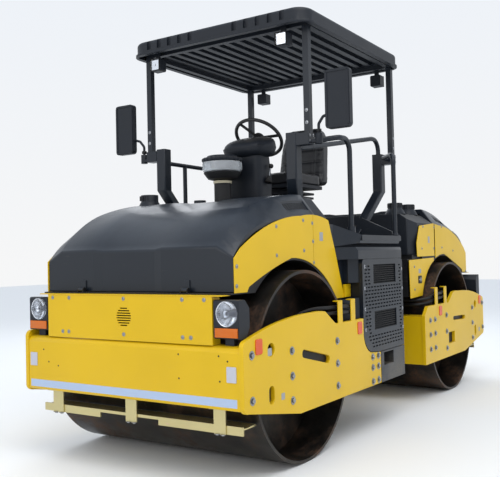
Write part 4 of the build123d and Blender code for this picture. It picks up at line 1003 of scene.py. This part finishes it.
post_bolts = bmesh.new()
for side in (1, -1):
    for z in (2319, 2233):
        add_dome_screw(post_bolts, seat_at(from_pivot(1127.5, side * 712, z), ahead), post_screw_size)
    for z in (2301, 2216):
        add_dome_screw(post_bolts, seat_at(from_pivot(-365, side * 734.5, z), (0, side, 0)), post_screw_size)
    for x, z in bracket_bolts:
        add_hex_bolt(post_bolts, seat_at(from_pivot(x, side * 734, z), (0, side, 0)), bracket_bolt_size)
finish_piece("post_bolts", post_bolts, "zinc_steel", "bright_steel")


def meet(node, start, way):
    """The point and facing where a ray meets a CAD node, or None for both."""
    graph = bpy.context.evaluated_depsgraph_get()
    hit, place, facing, _ = frame["nodes"][node].evaluated_get(graph).ray_cast(Vector(start), Vector(way))
    return (place, facing) if hit else (None, None)


collars = bmesh.new()
for x, y in ((pivot_x - 0.065, 0.850), (pivot_x + 0.840, -0.590), (pivot_x + 0.180, -0.590)):
    place, _ = meet("platform", (x, y, 1.6), (0, 0, -1))
    if place is not None:
        add_spun(collars, [(0.0195, 0.0), (0.038, 0.0), (0.038, 0.006), (0.026, 0.009), (0.024, 0.022),
                           (0.0195, 0.024)], seat_at(place, (0, 0, 1)), 24)
finish_piece("rail_collars", collars, "slate_paint")
print("posts and rails bolted")

# %% [markdown]
# ## Mesh, louvres and tread
# Behind the two big windows of each cabinet cover is a wire mesh, and the air inlet in the hood's shoulder
# has louvres. A wire mesh could be a texture with holes, but real wires keep their look close up. The
# louvres follow the hood: each point is dropped onto the CAD surface.

# %% Wire mesh behind the cabinet windows
mesh_pitch, wire_width, mesh_lap = 0.016, 0.0034, 0.012
wires = bmesh.new()
wire_y = grille_face_y - 0.0085
for low_x, high_x, low_z, high_z in ((0.048, 0.475, 1.090, 1.234), (0.050, 0.472, 0.748, 0.884)):
    mid_x, mid_z = pivot_x + (low_x + high_x) / 2, (low_z + high_z) / 2
    width, height = high_x - low_x + mesh_lap, high_z - low_z + mesh_lap
    for side in (1, -1):
        for number in range(int(width / mesh_pitch)):
            x = mid_x + (number + 0.5) * mesh_pitch - width / 2
            flat_plate(wires, (x, side * wire_y, mid_z), (0, side, 0), wire_width, height, radius=0.0008)
        for number in range(int(height / mesh_pitch)):
            z = mid_z + (number + 0.5) * mesh_pitch - height / 2
            flat_plate(wires, (mid_x, side * (wire_y + 0.0006), z), (0, side, 0), width, wire_width,
                       radius=0.0008)
finish_piece("cabinet_mesh", wires, "black_steel")

# %% Louvres in the hood's shoulders
slat_count, slat_inner_y, slat_outer_y = 9, 0.680, 0.722
slat_lift = (0.0004, 0.0026, 0.0026, 0.0004)


def add_hood_louvres(end, low_x, high_x):
    """Slats that follow the recess in both shoulders of a hood."""
    shape = bmesh.new()
    half = (high_x - low_x) / slat_count * 0.36
    for side in (1, -1):
        for number in range(slat_count):
            x = low_x + (high_x - low_x) * (number + 0.5) / slat_count
            corners = [meet(end + "_hood", (x + dx, side * y, 3.5), (0, 0, -1))[0]
                       for dx, y in ((-half, slat_inner_y), (half, slat_inner_y), (half, slat_outer_y),
                                     (-half, slat_outer_y))]
            if any(corner is None for corner in corners):
                continue
            low = [shape.verts.new(corner + Vector((0, 0, 0.0004))) for corner in corners]
            high = [shape.verts.new(corner + Vector((0, 0, 0.0006 + rise)))
                    for corner, rise in zip(corners, slat_lift)]
            shape.faces.new(high)
            shape.faces.new(list(reversed(low)))
            join_rings(shape, (low, high), closed=False)
    # The slats' black finish also paints the shade inside the hood's air inlet.
    finish_piece(end + "_hood_louvres", shape, "slate_plastic", "black_plastic", end + "_hood_body", smooth=0)


add_hood_louvres("front", front_axle - 0.285, front_axle - 0.010)
add_hood_louvres("rear", rear_axle - 0.210, rear_axle + 0.040)

# %% Tread studs on the platform
studs = bmesh.new()
tread_count = 0
for row in range(5):
    for column in range(13):
        x, y = pivot_x + 0.02 + column * 0.045, 0.60 + row * 0.055
        for side in (1, -1):
            place, facing = meet("platform", (x, side * y, 1.6), (0, 0, -1))
            if place is not None and facing.z > 0.98:
                add_spun(studs, [(0.009, 0.0), (0.007, 0.0022), (0, 0.0026)], seat_at(place, (0, 0, 1)), 8)
                tread_count += 1
finish_piece("platform_tread", studs, "slate_paint")
print("tread studs", tread_count)

# %% [markdown]
# ## The driver's controls
# On one side of the wheel stands the travel lever with its round knob and ribbed boot, and on the other a
# smaller one. Knobs and boots are spins, the stalks are smooth curves. The steering wheel's hub gets a
# domed cap, laid out from the wheel's own joint.

# %% Levers and wheel cap
stalk_radius, boot_ribs, ball_steps = 0.0055, 6, 9


def add_stalk(name, points):
    """A round steel bar along a smooth curve through a few points."""
    curve = bpy.data.curves.new(name, "CURVE")
    curve.dimensions = "3D"
    curve.bevel_depth = stalk_radius
    curve.bevel_resolution = 3
    curve.resolution_u = 8
    curve.use_fill_caps = True
    line = curve.splines.new("NURBS")
    line.points.add(len(points) - 1)
    for point, place in zip(line.points, points):
        point.co = (*place, 1)
    line.order_u = 3
    line.use_endpoint_u = True
    curve.materials.append(finishes["bright_steel"])
    ride_on(place_object(name, curve), "front_frame")


def add_lever(name, foot, knob, boot_height, knob_radius):
    """A stalk from foot to knob with a ribbed boot and a round knob."""
    foot, knob = Vector(foot), Vector(knob)
    way = (knob - foot).normalized()
    shape = bmesh.new()
    profile = [(0, 0)]
    for rib in range(boot_ribs):
        share = rib / (boot_ribs - 1)
        wide = 0.034 - 0.018 * share
        profile += [(wide, boot_height * share), (wide * 0.82, boot_height * (share + 0.09))]
    add_spun(shape, profile + [(0, boot_height * 1.1)], seat_at(foot, way), 20)
    angles = [math.pi * step / ball_steps for step in range(1, ball_steps)]
    ball = [(knob_radius * math.sin(angle), -knob_radius * math.cos(angle)) for angle in angles]
    add_spun(shape, [(0, -knob_radius)] + ball + [(0, knob_radius)], seat_at(knob, way), 20)
    finish_piece(name + "_knob", shape, "black_rubber", smooth=50)
    add_stalk(name + "_stalk", [foot, foot + way * 0.06, knob - way * 0.04, knob])


add_lever("travel_lever", from_pivot(780, 172, 1880), from_pivot(742, 178, 2010), 0.05, 0.019)
add_lever("blade_lever", from_pivot(730, -172, 1850), from_pivot(700, -178, 1960), 0.04, 0.015)
wheel_joint = joints["steering_wheel_turn"]
hub_cap = bmesh.new()
add_spun(hub_cap, [(0, 0.0145), (0.040, 0.0145), (0.040, 0.018), (0.034, 0.0215), (0.012, 0.0235), (0, 0.0235)],
         seat_at(wheel_joint["pos_m"], wheel_joint["axis"]), 28)
finish_piece("wheel_cap", hub_cap, "wheel_plastic", "black_plastic", "steering_wheel_body")
print("levers and wheel cap done")

# %% [markdown]
# ## Scraper studs, rear lamps and latches
# Next come the bright studs under the scrapers, the red and amber lenses at the rear, and the latch
# covers on the side doors.

# %% Scraper studs
scraper_feet = ((-0.722, -0.626), (-0.068, 0.023), (0.615, 0.699))
stud_inset_x, stud_inset_y = 0.051, 0.022
front_stud_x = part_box("front_scraper")[1][0] - stud_inset_x
rear_stud_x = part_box("rear_scraper")[0][0] + stud_inset_x
for end, stud_x in (("front", front_stud_x), ("rear", rear_stud_x)):
    studs = bmesh.new()
    for inner, outer in scraper_feet:
        for y in (inner + stud_inset_y, outer - stud_inset_y):
            place, _ = meet(end + "_scraper", (stud_x, y, 0.20), (0, 0, 1))
            if place is not None:
                add_hex_bolt(studs, seat_at(place, (0, 0, -1)), 0.011)
    finish_piece(end + "_frame_scraper_studs", studs, "zinc_steel", "bright_steel", end + "_frame")

# %% Rear lamps
rear_lamp_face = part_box("rear_lamps")[0][0]
for name, z, height, finish in (("rear_red_lenses", 1.010, 0.075, "red_lens"),
                                ("rear_amber_lenses", 0.925, 0.060, "amber_lens")):
    lens_shape = bmesh.new()
    for side in (1, -1):
        flat_plate(lens_shape, (rear_lamp_face, side * lamp_y, z), (-1, 0, 0), 0.120, height, 0.006, 0.012,
                   0.003)
    finish_piece(name, lens_shape, "amber_lens", finish, "rear_frame")

# %% Latch covers on the doors
latch_x, latch_z = rear_axle + 0.645, 1.075
latches, handles = bmesh.new(), bmesh.new()
for side in (1, -1):
    outward = (0, side, 0)
    flat_plate(latches, (latch_x, side * cover_y, latch_z), outward, 0.090, 0.070, 0.0025, 0.012, 0.001)
    add_spun(handles, [(0.020, 0.002), (0.020, 0.0045), (0.014, 0.006), (0, 0.006)],
             seat_at((latch_x - 0.016, side * cover_y, latch_z), outward), 20)
    flat_plate(handles, (latch_x + 0.022, side * (cover_y + 0.002), latch_z), outward, 0.030, 0.012, 0.005,
               0.004, 0.001)
finish_piece("door_latches", latches, "slate_plastic", "black_plastic", "rear_frame")
finish_piece("door_handles", handles, "zinc_steel", "bright_steel", "rear_frame")
print("latches and lamps placed")

# %% [markdown]
# ## The steering console
# The console is a moulded pedestal with a helmet-shaped pod, whose edges are too round for the CAD model's
# few faces. The pedestal is lofted through rounded sections, and the pod is a squared-off egg that slopes
# down to the front, with a raised lip round its middle. Together they stand for the CAD console.

# %% Pedestal and pod
pedestal_sections = ((1455, 716, 774, 22), (1600, 690, 815, 35), (1760, 668, 858, 45), (1900, 652, 868, 50),
                     (2020, 672, 876, 50), (2085, 690, 880, 45))
pedestal_width, squareness, pod_steps, pod_rings = 300, 0.62, 40, 14
console_low, console_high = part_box("console")
pod_middle = Vector(((console_low[0] + console_high[0]) / 2 + 0.005, 0, 2.155))
pod_half = Vector(((console_high[0] - console_low[0]) / 2 - 0.006, 0.222, 0.085))


def squared(value, power=squareness):
    """A sine or cosine raised to a power below one, with its sign kept, which squares off a circle."""
    return math.copysign(abs(value) ** power, value)


pedestal, rings = bmesh.new(), []
for z, rear_edge, front_edge, radius in pedestal_sections:
    middle = (rear_edge + front_edge) / 2
    rings.append([pedestal.verts.new(Vector(from_pivot(middle + x, y, z)))
                  for x, y in rounded_outline(front_edge - rear_edge, pedestal_width, radius)])
join_rings(pedestal, rings)
finish_piece("console_pedestal", pedestal, "slate_plastic", smooth=40)

pod, rings = bmesh.new(), []
for number in range(1, pod_rings):
    tilt = math.pi * number / pod_rings - math.pi / 2
    flat, z = squared(math.cos(tilt)), squared(math.sin(tilt), 0.8)
    lip = 1.03 if abs(z) < 0.16 else 1.0
    ring = []
    for across_x, across_y in spokes(pod_steps):
        x, y = flat * squared(across_x), flat * squared(across_y)
        narrower = 1 - 0.22 * max(0.0, x)
        rise = -0.038 * x if z > 0 else 0.0
        ring.append(pod.verts.new(Vector((pod_middle.x + pod_half.x * x, pod_half.y * y * narrower * lip * 0.97,
                                          pod_middle.z + pod_half.z * z + rise))))
    rings.append(ring)
join_rings(pod, rings)
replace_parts(finish_piece("console_pod", pod, "slate_plastic", smooth=60), "console")

# %% Display in the pod
display = bmesh.new()
flat_plate(display, (console_low[0] + 0.020, 0, 2.185), (-0.8, 0, 0.6), 0.20, 0.075, 0.006, 0.012, 0.002)
finish_piece("console_display", display, "slate_plastic", "black_plastic")
print("pod", [round(v, 3) for v in pod_half])

# %% Raised rims on the mirrors' backs
rims = bmesh.new()
mirror_front = pivot_x + 1.152
for side in (1, -1):
    for dy, dz, width, height in ((0.080, 0, 0.013, 0.375), (-0.080, 0, 0.013, 0.375), (0, 0.1885, 0.170, 0.013),
                                  (0, -0.1885, 0.170, 0.013)):
        flat_plate(rims, (mirror_front, side * mirror_y + dy, mirror_z + dz), ahead, width, height, 0.004, 0.005,
                   0.0015)
finish_piece("mirror_rims", rims, "slate_plastic")
